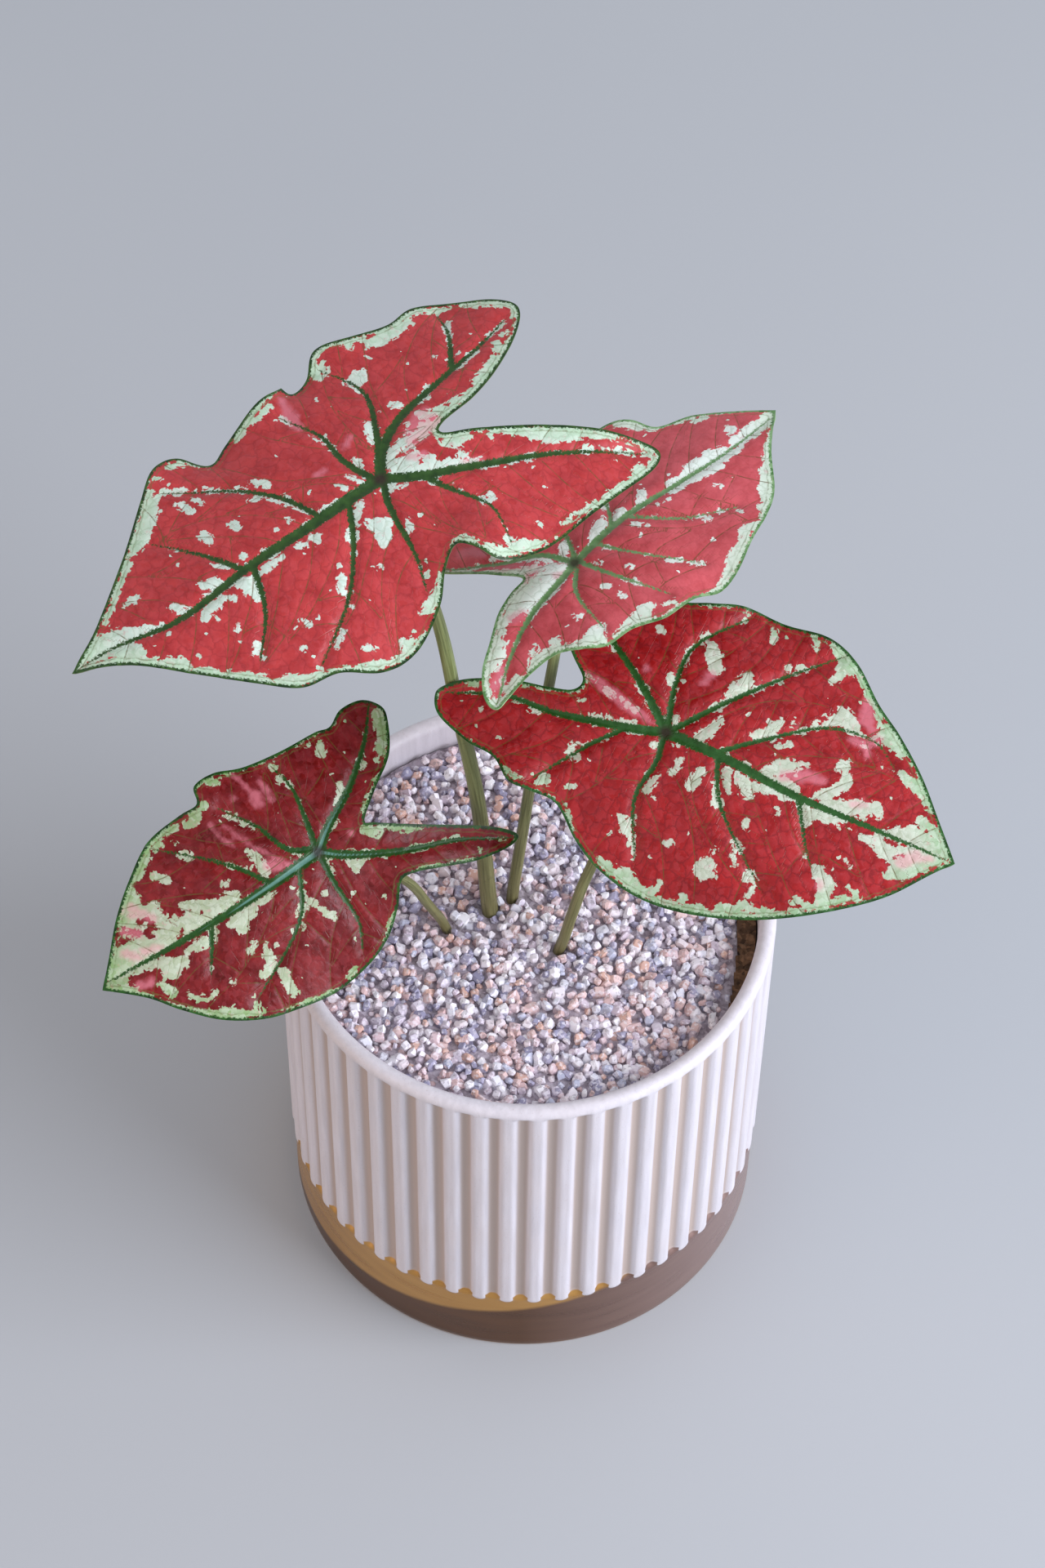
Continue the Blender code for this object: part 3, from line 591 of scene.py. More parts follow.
# %% Olive stem skin
def stem_material():
    material, tree = new_material("waxy_olive_stem", {"IOR": 1.42})
    place = add(tree, "Attribute", {}, attribute_name="stem").outputs["Vector"]
    # Lines about 0.5 mm apart round the stalk, each running some 15 mm.
    drawn = add(tree, "Mapping", {"Vector": place, "Scale": (3.0, 3.0, 0.06)})
    lines = add(tree, "TexNoise", {"Vector": drawn, "Scale": 1.3, "Detail": 4.0})
    lines = add(tree, "MapRange", {0: lines, 1: 0.32, 2: 0.68})
    # Browner near the ground and greener higher up.
    length = add(tree, "SeparateXYZ", {0: place}).outputs["Z"]
    upward = add(tree, "MapRange", {0: length, 1: 15.0, 2: 90.0})
    low = add(tree, "Mix", {0: lines, 1: "#5F5B38", 2: "#878158"}, data_type="RGBA")
    top = add(tree, "Mix", {0: lines, 1: "#5E683A", 2: "#88925E"}, data_type="RGBA")
    colour = add(tree, "Mix", {0: upward, 1: low, 2: top}, data_type="RGBA")
    # Brown freckles about a millimetre long.
    spots = add(tree, "TexNoise", {"Vector": place, "Scale": 0.9, "Detail": 5.0, "Roughness": 0.7})
    spots = add(tree, "MapRange", {0: spots, 1: 0.58, 2: 0.72, 4: 0.45})
    colour = add(tree, "Mix", {0: spots, 1: colour, 2: "#4A3A24"}, data_type="RGBA")
    rough = add(tree, "MapRange", {0: lines, 3: 0.36, 4: 0.48})
    relief = add(tree, "Bump", {"Strength": 0.3, "Distance": 0.0002, "Height": lines})
    return finish(material, {"Base Color": colour, "Roughness": rough, "Normal": relief})


STEM_SKIN = stem_material()

# %% Make the stalks
for name, route in ROUTES.items():
    tube = stalk_tube(route, *STALK_RADII[name])
    make_piece(name + "_stem", tube, STEM_SKIN, name + "_stalk")

# %% [markdown]
# ## The gravel
#
# The soil is topped with crushed granite and quartz chippings of 2 to 4 mm. Each could be its own
# object, or the heap one bumpy sheet. Here a few stone shapes are cut from a cube, with its edges
# bevelled and its sides cut off flat at random, and each is laid down many times with its own
# size and turn. On the right the stones keep back from the wall, as in the photograph.

# %% A few stone shapes
DICE = random.Random(11)
STONE_KINDS = 14
STONE_BEVEL = 0.34
STONE_DENTS = (0.86, 1.14)
STONE_BREAKS = 6
BREAKS_AT = (0.5, 0.8)


def random_turn(dice):
    return Euler([dice.uniform(0.0, 2.0 * math.pi) for _ in range(3)]).to_matrix().to_4x4()


def cut_stone(dice):
    """One chipping, its radius about 1 until it is scaled: a bevelled cube with flat breaks."""
    bm = bmesh.new()
    bmesh.ops.create_cube(bm, size=1.5)
    bmesh.ops.bevel(bm, geom=bm.edges[:], offset=STONE_BEVEL, offset_type="OFFSET", segments=1,
                    profile=0.5, affect="EDGES", material=-1)
    for v in bm.verts:
        v.co *= dice.uniform(*STONE_DENTS)
    for _ in range(STONE_BREAKS):
        way = Vector([dice.gauss(0.0, 1.0) for _ in range(3)]).normalized()
        face = dice.uniform(*BREAKS_AT)
        for v in bm.verts:
            v.co -= max(0.0, v.co.dot(way) - face) * way
    mesh = bpy.data.meshes.new("stone")
    bm.to_mesh(mesh)
    bm.free()
    return mesh


STONES = [cut_stone(DICE) for _ in range(STONE_KINDS)]
print("a stone has", len(STONES[0].vertices), "points")

# %% Where the stones lie
GRAVEL_REACH = 59.6
GRAVEL_PITCH = 2.9
GRAVEL_TOP = 118.7
STONE_BED = 115.9
LAYER_RISE = 1.15
LAYER_SHARES = (1.0, 0.8)
STONE_SHIFT = 0.9
STONE_LEVELS = (-0.25, 0.45)
STONE_HALVES = (1.1, 1.3, 1.5, 1.7, 1.95, 2.3)
STONE_VARIETY = (0.9, 1.1)
STALK_CLEARANCE = 1.5
CRESCENT_WIDTH = 3.8
CRESCENT_HALF_ANGLE = 27.0


def stalk_feet(height):
    """Where each stalk passes a height."""
    feet = []
    for route in ROUTES.values():
        low = max(i for i, p in enumerate(route) if p.z <= height)
        share = (height - route[low].z) / (route[low + 1].z - route[low].z)
        feet.append(route[low].lerp(route[low + 1], share).xy)
    return feet


FEET = stalk_feet(117.0)


def soil_and_shade_width(x, y):
    """How wide the strip of soil by the wall is, by direction: a crescent on the right, its brown partly
    painted shade.
    """
    angle = math.degrees(math.atan2(y, x))
    return CRESCENT_WIDTH * max(0.0, 1.0 - ((angle + 1.0) / CRESCENT_HALF_ANGLE) ** 2)


def lay_stones(dice):
    """Place, half size and turn of every stone, in two uneven layers."""
    laid = []
    row_pitch = GRAVEL_PITCH * math.sqrt(0.75)
    rows = int(GRAVEL_REACH / row_pitch) + 1
    for layer, share in enumerate(LAYER_SHARES):
        for row in range(-rows, rows + 1):
            for col in range(-rows, rows + 1):
                x = (col + 0.5 * (row % 2) + 0.5 * layer) * GRAVEL_PITCH
                x += dice.uniform(-STONE_SHIFT, STONE_SHIFT)
                y = row * row_pitch + dice.uniform(-STONE_SHIFT, STONE_SHIFT)
                half = dice.choice(STONE_HALVES) * dice.uniform(*STONE_VARIETY)
                z = STONE_BED + LAYER_RISE * layer + dice.uniform(*STONE_LEVELS)
                edge = GRAVEL_REACH - half - soil_and_shade_width(x, y)
                clear = min((Vector((x, y)) - foot).length for foot in FEET) - 0.8 * half
                if dice.random() > share or math.hypot(x, y) > edge or clear < STALK_CLEARANCE:
                    continue
                laid.append((Vector((x, y, min(z, GRAVEL_TOP - half))), half, random_turn(dice)))
    return laid


LAID = lay_stones(DICE)
print(len(LAID), "stones laid")

# %% [markdown]
# ## The stones' finish
#
# The chippings are dry and rough, so they have almost no shine, and each has one tone: pinkish
# white, grey, lilac, or an orange here and there. Many materials could share the tones out. Here
# every stone keeps one chance number, and one material picks its tone by it. Small flakes of
# feldspar and mica make a stone sparkle close to.

# %% Crushed granite
STONE_TONES = ("#E8DCE0", "#D8CFDC", "#F2ECF2", "#BFC2D6", "#E6C8C4", "#F6F2F8", "#A8A4BC", "#DFC6CA",
               "#E6E6F0", "#9390AA", "#DDB5A6", "#CFC0CC", "#FAF8FC", "#D4B4B2")


def stone_material():
    material, tree = new_material("crushed_pink_granite", {"IOR": 1.54})
    place = add(tree, "TexCoord", {}).outputs["Object"]
    chance = add(tree, "Attribute", {}, attribute_name="stone").outputs["Fac"]
    ramp = add(tree, "ValToRGB", {0: chance})
    steps = ramp.color_ramp
    steps.interpolation = "CONSTANT"
    steps.elements.remove(steps.elements[1])
    steps.elements[0].color = linear(STONE_TONES[0])
    for i, tone in enumerate(STONE_TONES[1:], start=1):
        steps.elements.new(i / len(STONE_TONES)).color = linear(tone)
    # Mineral grains are 0.3 to 0.8 mm in such chippings: pale feldspar and dark mica.
    grain = add(tree, "TexVoronoi", {"Vector": place, "Scale": 1500.0})
    flake = add(tree, "SeparateColor", {0: grain.outputs["Color"]}).outputs[0]
    feldspar = add(tree, "MapRange", {0: flake, 1: 0.72, 2: 0.78, 4: 0.5})
    colour = add(tree, "Mix", {0: feldspar, 1: ramp, 2: "#F6F2F8"}, data_type="RGBA")
    mica = add(tree, "MapRange", {0: flake, 1: 0.16, 2: 0.10, 4: 0.4})
    colour = add(tree, "Mix", {0: mica, 1: colour, 2: "#80767F"}, data_type="RGBA")
    # The stones that lie deepest are painted greyer, as painted shade in the gaps between them.
    height = add(tree, "SeparateXYZ", {0: place}).outputs["Z"]
    deep = add(tree, "MapRange", {0: height, 1: 0.1178, 2: 0.1155, 4: 0.2})
    colour = add(tree, "Mix", {0: deep, 1: colour, 2: "#A0929C"}, data_type="RGBA")
    wear = add(tree, "TexNoise", {"Vector": place, "Scale": 1800.0, "Detail": 3.0})
    rough = add(tree, "MapRange", {0: wear, 1: 0.3, 2: 0.7, 3: 0.5, 4: 0.8})
    relief = add(tree, "Bump", {"Strength": 0.35, "Distance": 0.0002, "Height": wear})
    return finish(material, {"Base Color": colour, "Roughness": rough, "Normal": relief})


GRANITE = stone_material()

# %% Lay the stones
STONE_STRETCH = ((0.85, 1.25), (0.8, 1.1), (0.65, 0.95))


def stone_heap(laid, dice):
    """All these stones in one bmesh, with one tint number for each."""
    bm = bmesh.new()
    tints = []
    tool = bmesh.new()
    spare = bpy.data.meshes.new("spare")
    for place, half, turn in laid:
        tool.clear()
        tool.from_mesh(dice.choice(STONES))
        size = Matrix.Diagonal([half * dice.uniform(*limits) for limits in STONE_STRETCH] + [1.0])
        bmesh.ops.transform(tool, matrix=Matrix.Translation(place) @ turn @ size, verts=tool.verts)
        tool.to_mesh(spare)
        bm.from_mesh(spare)
        tints += [dice.random()] * len(tool.verts)
    tool.free()
    bpy.data.meshes.remove(spare)
    bmesh.ops.recalc_face_normals(bm, faces=bm.faces)
    return bm, tints


def mark(piece, name, values, kind="FLOAT"):
    """Keep one number, or one vector, for each point of a mesh, for its material to read."""
    layer = piece.data.attributes.new(name, kind, "POINT")
    field = "value" if kind == "FLOAT" else "vector"
    layer.data.foreach_set(field, np.asarray(values, dtype=np.float32).ravel())


HALVES = (LAID[0::2], LAID[1::2])
for number, laid in enumerate(HALVES, start=1):
    heap, tints = stone_heap(laid, DICE)
    stones = make_piece(f"gravel_stones_{number}", heap, GRANITE, "gravel", 30.0)
    mark(stones, "stone", tints)

# %% [markdown]
# ## Soil, grit and tuber
#
# Peaty soil is brown, crumbly and quite matt, since it drinks the light. Stone grit has the
# chippings' own dusty tones and fills the gaps between them. A tuber's skin is corky and brown.
# Images of earth would show their edges. Crumbs drawn by a rule have none, so one function makes
# all three, each with its own two tones and its own size of crumb. Soil and tuber are hidden in
# the pot, so they keep the measured shapes and only get the finish.

# %% Soil, grit and skin of the tuber
def crumb_material(name, dark, light, grain):
    """Loose earth: crumbs of two tones, each about one grain across in millimetres."""
    material, tree = new_material(name, {"IOR": 1.35})
    place = add(tree, "TexCoord", {}).outputs["Object"]
    crumbs = add(tree, "TexVoronoi", {"Vector": place, "Scale": 1000.0 / grain})
    tone = add(tree, "SeparateColor", {0: crumbs.outputs["Color"]}).outputs[0]
    lumps = add(tree, "TexNoise", {"Vector": place, "Scale": 350.0 / grain, "Detail": 5.0})
    crumbly = add(tree, "Math", {0: tone, 1: 0.5, 2: lumps}, operation="MULTIPLY_ADD")
    lightness = add(tree, "MapRange", {0: crumbly, 1: 0.45, 2: 1.0})
    colour = add(tree, "Mix", {0: lightness, 1: dark, 2: light}, data_type="RGBA")
    rough = add(tree, "MapRange", {0: lumps, 3: 0.75, 4: 0.98})
    relief = add(tree, "Bump", {"Strength": 0.8, "Distance": 0.0008, "Height": crumbly})
    return finish(material, {"Base Color": colour, "Roughness": rough, "Normal": relief})


SOIL = crumb_material("damp_potting_soil", "#3A2A1E", "#86664C", 1.2)
GRIT = crumb_material("dusty_stone_grit", "#988C96", "#D8CED8", 0.9)
TUBER = crumb_material("corky_tuber_skin", "#3B2A1C", "#7A5B40", 2.5)
for node, material in (("soil", SOIL), ("tuber", TUBER)):
    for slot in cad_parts[node].material_slots:
        slot.material = material

# %% [markdown]
# ## The bed under the stones
#
# Finer grit has settled between and under the chippings, and a strip of brown soil shows where
# they keep back from the wall on the right; its dark brown is partly bare soil and partly painted
# shade by the wall. A flat disc would look cut out. A grid whose points are lifted at random is
# as lumpy as loose earth, and its outer points are drawn on to the wall so that no gap shows.

# %% Grit and bare soil
BED_RADIUS = 60.0
BED_TOP = 115.6
BARE_SOIL_TOP = 116.5
BED_DEPTH = 1.4


def uneven_disc(radius, height, lift, dice, step=1.6, shows=None):
    """A closed slab with a lumpy top, step between its points, or only the part that shows."""
    cells = int(2.0 * radius / step)
    bm = bmesh.new()
    bmesh.ops.create_grid(bm, x_segments=cells, y_segments=cells, size=radius)
    outside = [f for f in bm.faces if f.calc_center_median().xy.length > radius - 0.7 * step
               or (shows and not shows(f.calc_center_median()))]
    bmesh.ops.delete(bm, geom=outside, context="FACES")
    for v in bm.verts:
        if v.is_boundary and v.co.xy.length > radius - 2.0 * step:
            v.co.xy = v.co.xy.normalized() * radius
        v.co += Vector((0.0, 0.0, height + dice.uniform(-lift, lift)))
    base = bmesh.ops.extrude_face_region(bm, geom=bm.faces[:], use_keep_orig=True)
    for g in base["geom"]:
        if isinstance(g, bmesh.types.BMVert):
            g.co.z = height - BED_DEPTH
    bmesh.ops.recalc_face_normals(bm, faces=bm.faces)
    return bm


grit_bed = uneven_disc(BED_RADIUS, BED_TOP, 0.35, DICE)
make_piece("gravel_bed", grit_bed, GRIT, "gravel")


def in_crescent(spot):
    """Whether a spot is in the strip of brown soil, which is partly painted shade."""
    wide = soil_and_shade_width(spot.x, spot.y)
    return wide > 0.2 and spot.xy.length > BED_RADIUS - 1.0 - wide


crescent = uneven_disc(BED_RADIUS, BARE_SOIL_TOP, 0.3, DICE, 0.5, in_crescent)
make_piece("soil_and_shade_strip", crescent, SOIL, "gravel")

# %% [markdown]
# ## The blades
#
# A caladium blade is a thin sheet, about half a millimetre thick, shaped like an arrowhead. It
# is folded a little along its midrib, its veins lie in furrows on top and stand out below, and
# its margin waves. A sculptor would start from a plane too: here a fine grid is trimmed to the
# outline, its rim is drawn on to the true margin, every point is lifted by the leaf's own height
# rule, and the sheet is then given its thickness.

# %% Distances from lines, for thousands of points at once
CELL = 0.62


def near_line(points, line, halves=None):
    """Each point's distance from a line, less the line's half width there if it has one."""
    best = np.full(len(points), 1e9)
    foot = np.zeros_like(points)
    for i in range(max(1, len(line) - 1)):
        a, b = line[i], line[min(i + 1, len(line) - 1)]
        ab = b - a
        t = np.clip((points - a) @ ab / max(ab @ ab, 1e-9), 0.0, 1.0)
        spot = a + t[:, None] * ab
        gap = np.hypot(*(points - spot).T)
        if halves is not None:
            gap = gap - halves[i] - (halves[min(i + 1, len(line) - 1)] - halves[i]) * t
        closer = gap < best
        best[closer] = gap[closer]
        foot[closer] = spot[closer]
    return best, foot


def within(points, ring):
    """Which points lie inside a closed outline, by counting how often a ray crosses it."""
    inside = np.zeros(len(points), bool)
    for a, b in zip(ring, np.roll(ring, -1, axis=0)):
        crosses = (a[1] > points[:, 1]) != (b[1] > points[:, 1])
        rise = b[1] - a[1] if b[1] != a[1] else 1e-9
        side = points[:, 0] < (b[0] - a[0]) * (points[:, 1] - a[1]) / rise + a[0]
        inside ^= crosses & side
    return inside


# %% The leaf's lines: its margin and its veins
MARGIN_STEP = 0.6
VEIN_LINE_STEP = 1.5


def margin_line(leaf):
    """The outline as closely set points, and the corners where its runs meet."""
    ring = []
    for run in leaf["outline"]:
        ring += [tuple(p) for p in smooth_run(run, MARGIN_STEP)[:-1]]
    return np.array(ring), np.array([run[0] for run in leaf["outline"]], float)


# Half widths at the root: of the three main veins, and of the others.
VEIN_SIZES = {"leaf_1": (1.25, 1.4), "leaf_2": (0.85, 0.9), "leaf_3": (1.1, 1.15), "leaf_4": (1.15, 1.2)}
VEIN_TIP = 0.16
# The midrib and the two veins of the back lobes come first in each list, and are wider yet.
MAIN_WIDER = (1.35, 1.15, 1.1)
FROM_STALK_SHARE = 0.75
BRANCH_SHARE = 0.6
STALK_SEAT = 2.5
VEIN_TAPER = 0.8


def vein_lines(name, leaf):
    """Each vein as points with a half width that tapers towards its end."""
    main, others = VEIN_SIZES[name]
    lines = []
    for number, vein in enumerate(leaf["veins"]):
        run = np.array([tuple(p) for p in smooth_run(vein, VEIN_LINE_STEP)])
        from_stalk = math.hypot(*vein[0]) < STALK_SEAT
        if number < len(MAIN_WIDER):
            root = main * MAIN_WIDER[number]
        else:
            root = others * (FROM_STALK_SHARE if from_stalk else BRANCH_SHARE)
        share = np.linspace(0.0, 1.0, len(run))
        lines.append((run, VEIN_TIP + (root - VEIN_TIP) * (1.0 - share) ** VEIN_TAPER))
    return lines


# %% Thin side veins
VEIN_SPACING = 8.5
FIRST_VEIN = (4.0, 7.0)
LAST_VEIN = 0.94
VEIN_STEP = 1.4
VEIN_STEPS = 26
FEWEST_STEPS = 4
# Degrees: how far a side vein turns off, how much it bends back at each step, and its wobble.
TURN_OFF = (52.0, 64.0)
BEND_BACK = 1.6
WOBBLE = 4.0
# A big vein with a smaller half width than this has no side veins.
BRANCHING_HALF = 0.45
# A side vein ends this near another vein, or the margin.
VEIN_GAP = 1.1
MARGIN_GAP = 1.5


def side_veins(ring, veins, dice):
    """Fine olive veins that leave the big ones at even spaces and bend towards the tip."""
    drawn = [run for run, _ in veins]
    found = []
    for run, halves in veins:
        if halves[0] < BRANCHING_HALF:
            continue
        steps = np.hypot(*np.diff(run, axis=0).T)
        for side in (-1.0, 1.0):
            first = dice.uniform(*FIRST_VEIN)
            for start in np.arange(first, LAST_VEIN * steps.sum(), VEIN_SPACING):
                i = min(len(run) - 2, int(np.searchsorted(np.cumsum(steps), start)))
                ahead = (run[i + 1] - run[i]) / steps[i]
                bend = side * math.radians(dice.uniform(*TURN_OFF))
                spot = run[i].copy()
                path = [spot.copy()]
                others = np.vstack([line for line in drawn + found if line is not run])
                for step in range(VEIN_STEPS):
                    c, s = math.cos(bend), math.sin(bend)
                    way = np.array([c * ahead[0] - s * ahead[1], s * ahead[0] + c * ahead[1]])
                    spot = spot + VEIN_STEP * way
                    path.append(spot.copy())
                    wobble = math.radians(dice.uniform(-WOBBLE, WOBBLE))
                    bend -= side * math.radians(BEND_BACK) + wobble
                    met = np.hypot(*(others - spot).T).min() < VEIN_GAP
                    if (met and step > 1) or np.hypot(*(ring - spot).T).min() < MARGIN_GAP:
                        break
                if len(path) > FEWEST_STEPS:
                    found.append(np.array(path))
    return found


def beside_lines(points, lines):
    """Distance from the nearest line. Its sign tells on which side, so a thin line stays whole."""
    best = np.full(len(points), 99.0)
    for line in lines:
        for a, b in zip(line, line[1:]):
            ab = b - a
            t = np.clip((points - a) @ ab / max(ab @ ab, 1e-9), 0.0, 1.0)
            away = points - a - t[:, None] * ab
            gap = np.hypot(*away.T)
            sign = np.where(ab[0] * away[:, 1] - ab[1] * away[:, 0] < 0.0, -1.0, 1.0)
            closer = gap < np.abs(best)
            best[closer] = (sign * gap)[closer]
    return best


# %% The leaf's height over its own plane
FOLD_SOFTNESS = 6.0
DIMPLE_DEPTH = 1.2
DIMPLE_RADIUS = 9.0
PUCKERS = 260
PUCKERS_ALONG = (-60.0, 90.0)
PUCKERS_ACROSS = (-45.0, 45.0)
PUCKER_RADII = (2.0, 4.5)
PUCKER_LIFT = 0.16


def blade_height(leaf, u, v):
    """Droop, fold, waves and the dimple over the stalk, as the measured model has them."""
    droop = np.where(u > 0.0, leaf["droop"], leaf["back_droop"])
    fold = leaf["fold"] * (np.hypot(v, FOLD_SOFTNESS) - FOLD_SOFTNESS)
    height = -droop * (u / leaf["length"]) ** 2 - fold
    for wave_u, wave_v, radius, lift in leaf["waves"]:
        height = height + lift * np.exp(-((u - wave_u) ** 2 + (v - wave_v) ** 2) / radius ** 2)
    return height + DIMPLE_DEPTH * (1.0 - np.exp(-(u * u + v * v) / DIMPLE_RADIUS ** 2))


def quilting(points, dice):
    """The soft swelling of the blade between its veins, and a few uneven puckers."""
    lift = np.zeros(len(points))
    for _ in range(PUCKERS):
        spot = np.array([dice.uniform(*PUCKERS_ALONG), dice.uniform(*PUCKERS_ACROSS)])
        size = dice.uniform(*PUCKER_RADII)
        rise = dice.uniform(-PUCKER_LIFT, PUCKER_LIFT)
        lift += rise * np.exp(-((points - spot) ** 2).sum(1) / size ** 2)
    return lift


# %% Cut the sheet
TRIM_PASSES = 6
EASE_PASSES = 4
EASE_DEPTH = 2.5 * CELL


def trimmed_sheet(ring, corners):
    """A flat grid cut to the outline, its rim moved on to the margin."""
    low, high = ring.min(0) - CELL, ring.max(0) + CELL
    cells = np.ceil((high - low) / CELL).astype(int)
    bm = bmesh.new()
    bmesh.ops.create_grid(bm, x_segments=int(cells[0]), y_segments=int(cells[1]), size=1.0)
    wide = Vector((*(0.5 * CELL * cells), 1.0))
    bmesh.ops.scale(bm, vec=wide, verts=bm.verts)
    bmesh.ops.translate(bm, vec=Vector((*(0.5 * (low + high)), 0.0)), verts=bm.verts)
    faces = bm.faces[:]
    keep = within(np.array([f.calc_center_median()[:2] for f in faces]), ring)
    bmesh.ops.delete(bm, geom=[f for f, k in zip(faces, keep) if not k], context="FACES")
    for _ in range(TRIM_PASSES):
        spurs = [f for f in bm.faces if sum(e.is_boundary for e in f.edges) > 2]
        knots = [v.link_faces[0] for v in bm.verts if sum(e.is_boundary for e in v.link_edges) > 2]
        if not spurs + knots:
            break
        bmesh.ops.delete(bm, geom=list(set(spurs + knots)), context="FACES")
    rim = [v for v in bm.verts if v.is_boundary]
    closed = np.vstack([ring, ring[:1]])
    _, spots = near_line(np.array([v.co[:2] for v in rim]), closed)
    for v, spot in zip(rim, spots):
        v.co.xy = spot
    for corner in corners:
        nearest = min(rim, key=lambda v: (v.co.xy - Vector(corner)).length)
        nearest.co.xy = corner
    depth, _ = near_line(np.array([v.co[:2] for v in bm.verts]), closed)
    ease = [v for v, d in zip(bm.verts, depth) if d < EASE_DEPTH and not v.is_boundary]
    for _ in range(EASE_PASSES):
        bmesh.ops.smooth_vert(bm, verts=ease, factor=0.5, use_axis_x=True, use_axis_y=True)
    return bm


# %% [markdown]
# ## The red and cream pattern
#
# The pattern of this caladium is irregular: mint-cream blotches along the veins and margins,
# each with a jagged edge where it stops at a fine vein. A painter would dab it on by eye, and the
# lists below are such dabs. Each dab was placed over the photograph, as a few points with
# a half width in its pixels. The view that the photograph was taken from then carries the dab on
# to the curved blade, where it has a place and width in millimetres, so the pattern belongs to
# the leaf and turns with it. Pink dabs tint, and some of them are painted highlights; red dabs lie over
# the cream.

# %% The photograph's view
PHOTO_WIDE, PHOTO_HIGH = 1280, 1920
LENS = 93.75
SENSOR = 36.0
EYE = Vector((0.0, -585.0, 1014.0))
PITCH, YAW, ROLL = (math.radians(a) for a in (55.0, -0.18, 0.92))
AHEAD = Vector((math.sin(YAW) * math.cos(PITCH), math.cos(YAW) * math.cos(PITCH), -math.sin(PITCH)))
LEVEL = Vector((math.cos(YAW), -math.sin(YAW), 0.0))
UPRIGHT = LEVEL.cross(AHEAD)
RIGHT = math.cos(ROLL) * LEVEL + math.sin(ROLL) * UPRIGHT
ABOVE = math.cos(ROLL) * UPRIGHT - math.sin(ROLL) * LEVEL
MEETING_STEPS = 60
MEETING_EASE = 0.4
BLADE_REACH = 150.0


def on_blade(leaf, pixels):
    """Where the view through each photo pixel meets the blade, in the blade's millimetres.

    It is found by steps, each from the blade's height at the last place found.
    """
    axes = np.array(leaf_turn(leaf).to_matrix())
    eye = (np.array(EYE) - np.array(leaf["at"])) @ axes
    focal = LENS / SENSOR * PHOTO_HIGH
    across = (pixels[:, :1] - 0.5 * PHOTO_WIDE) / focal
    down = (pixels[:, 1:] - 0.5 * PHOTO_HIGH) / focal
    rays = (np.array(AHEAD) + across * np.array(RIGHT) - down * np.array(ABOVE)) @ axes
    height = np.zeros(len(pixels))
    for _ in range(MEETING_STEPS):
        spots = eye + rays * ((height - eye[2]) / rays[:, 2])[:, None]
        near = np.clip(spots[:, :2], -BLADE_REACH, BLADE_REACH)
        height += MEETING_EASE * (blade_height(leaf, *near.T) - height)
    return spots[:, :2]


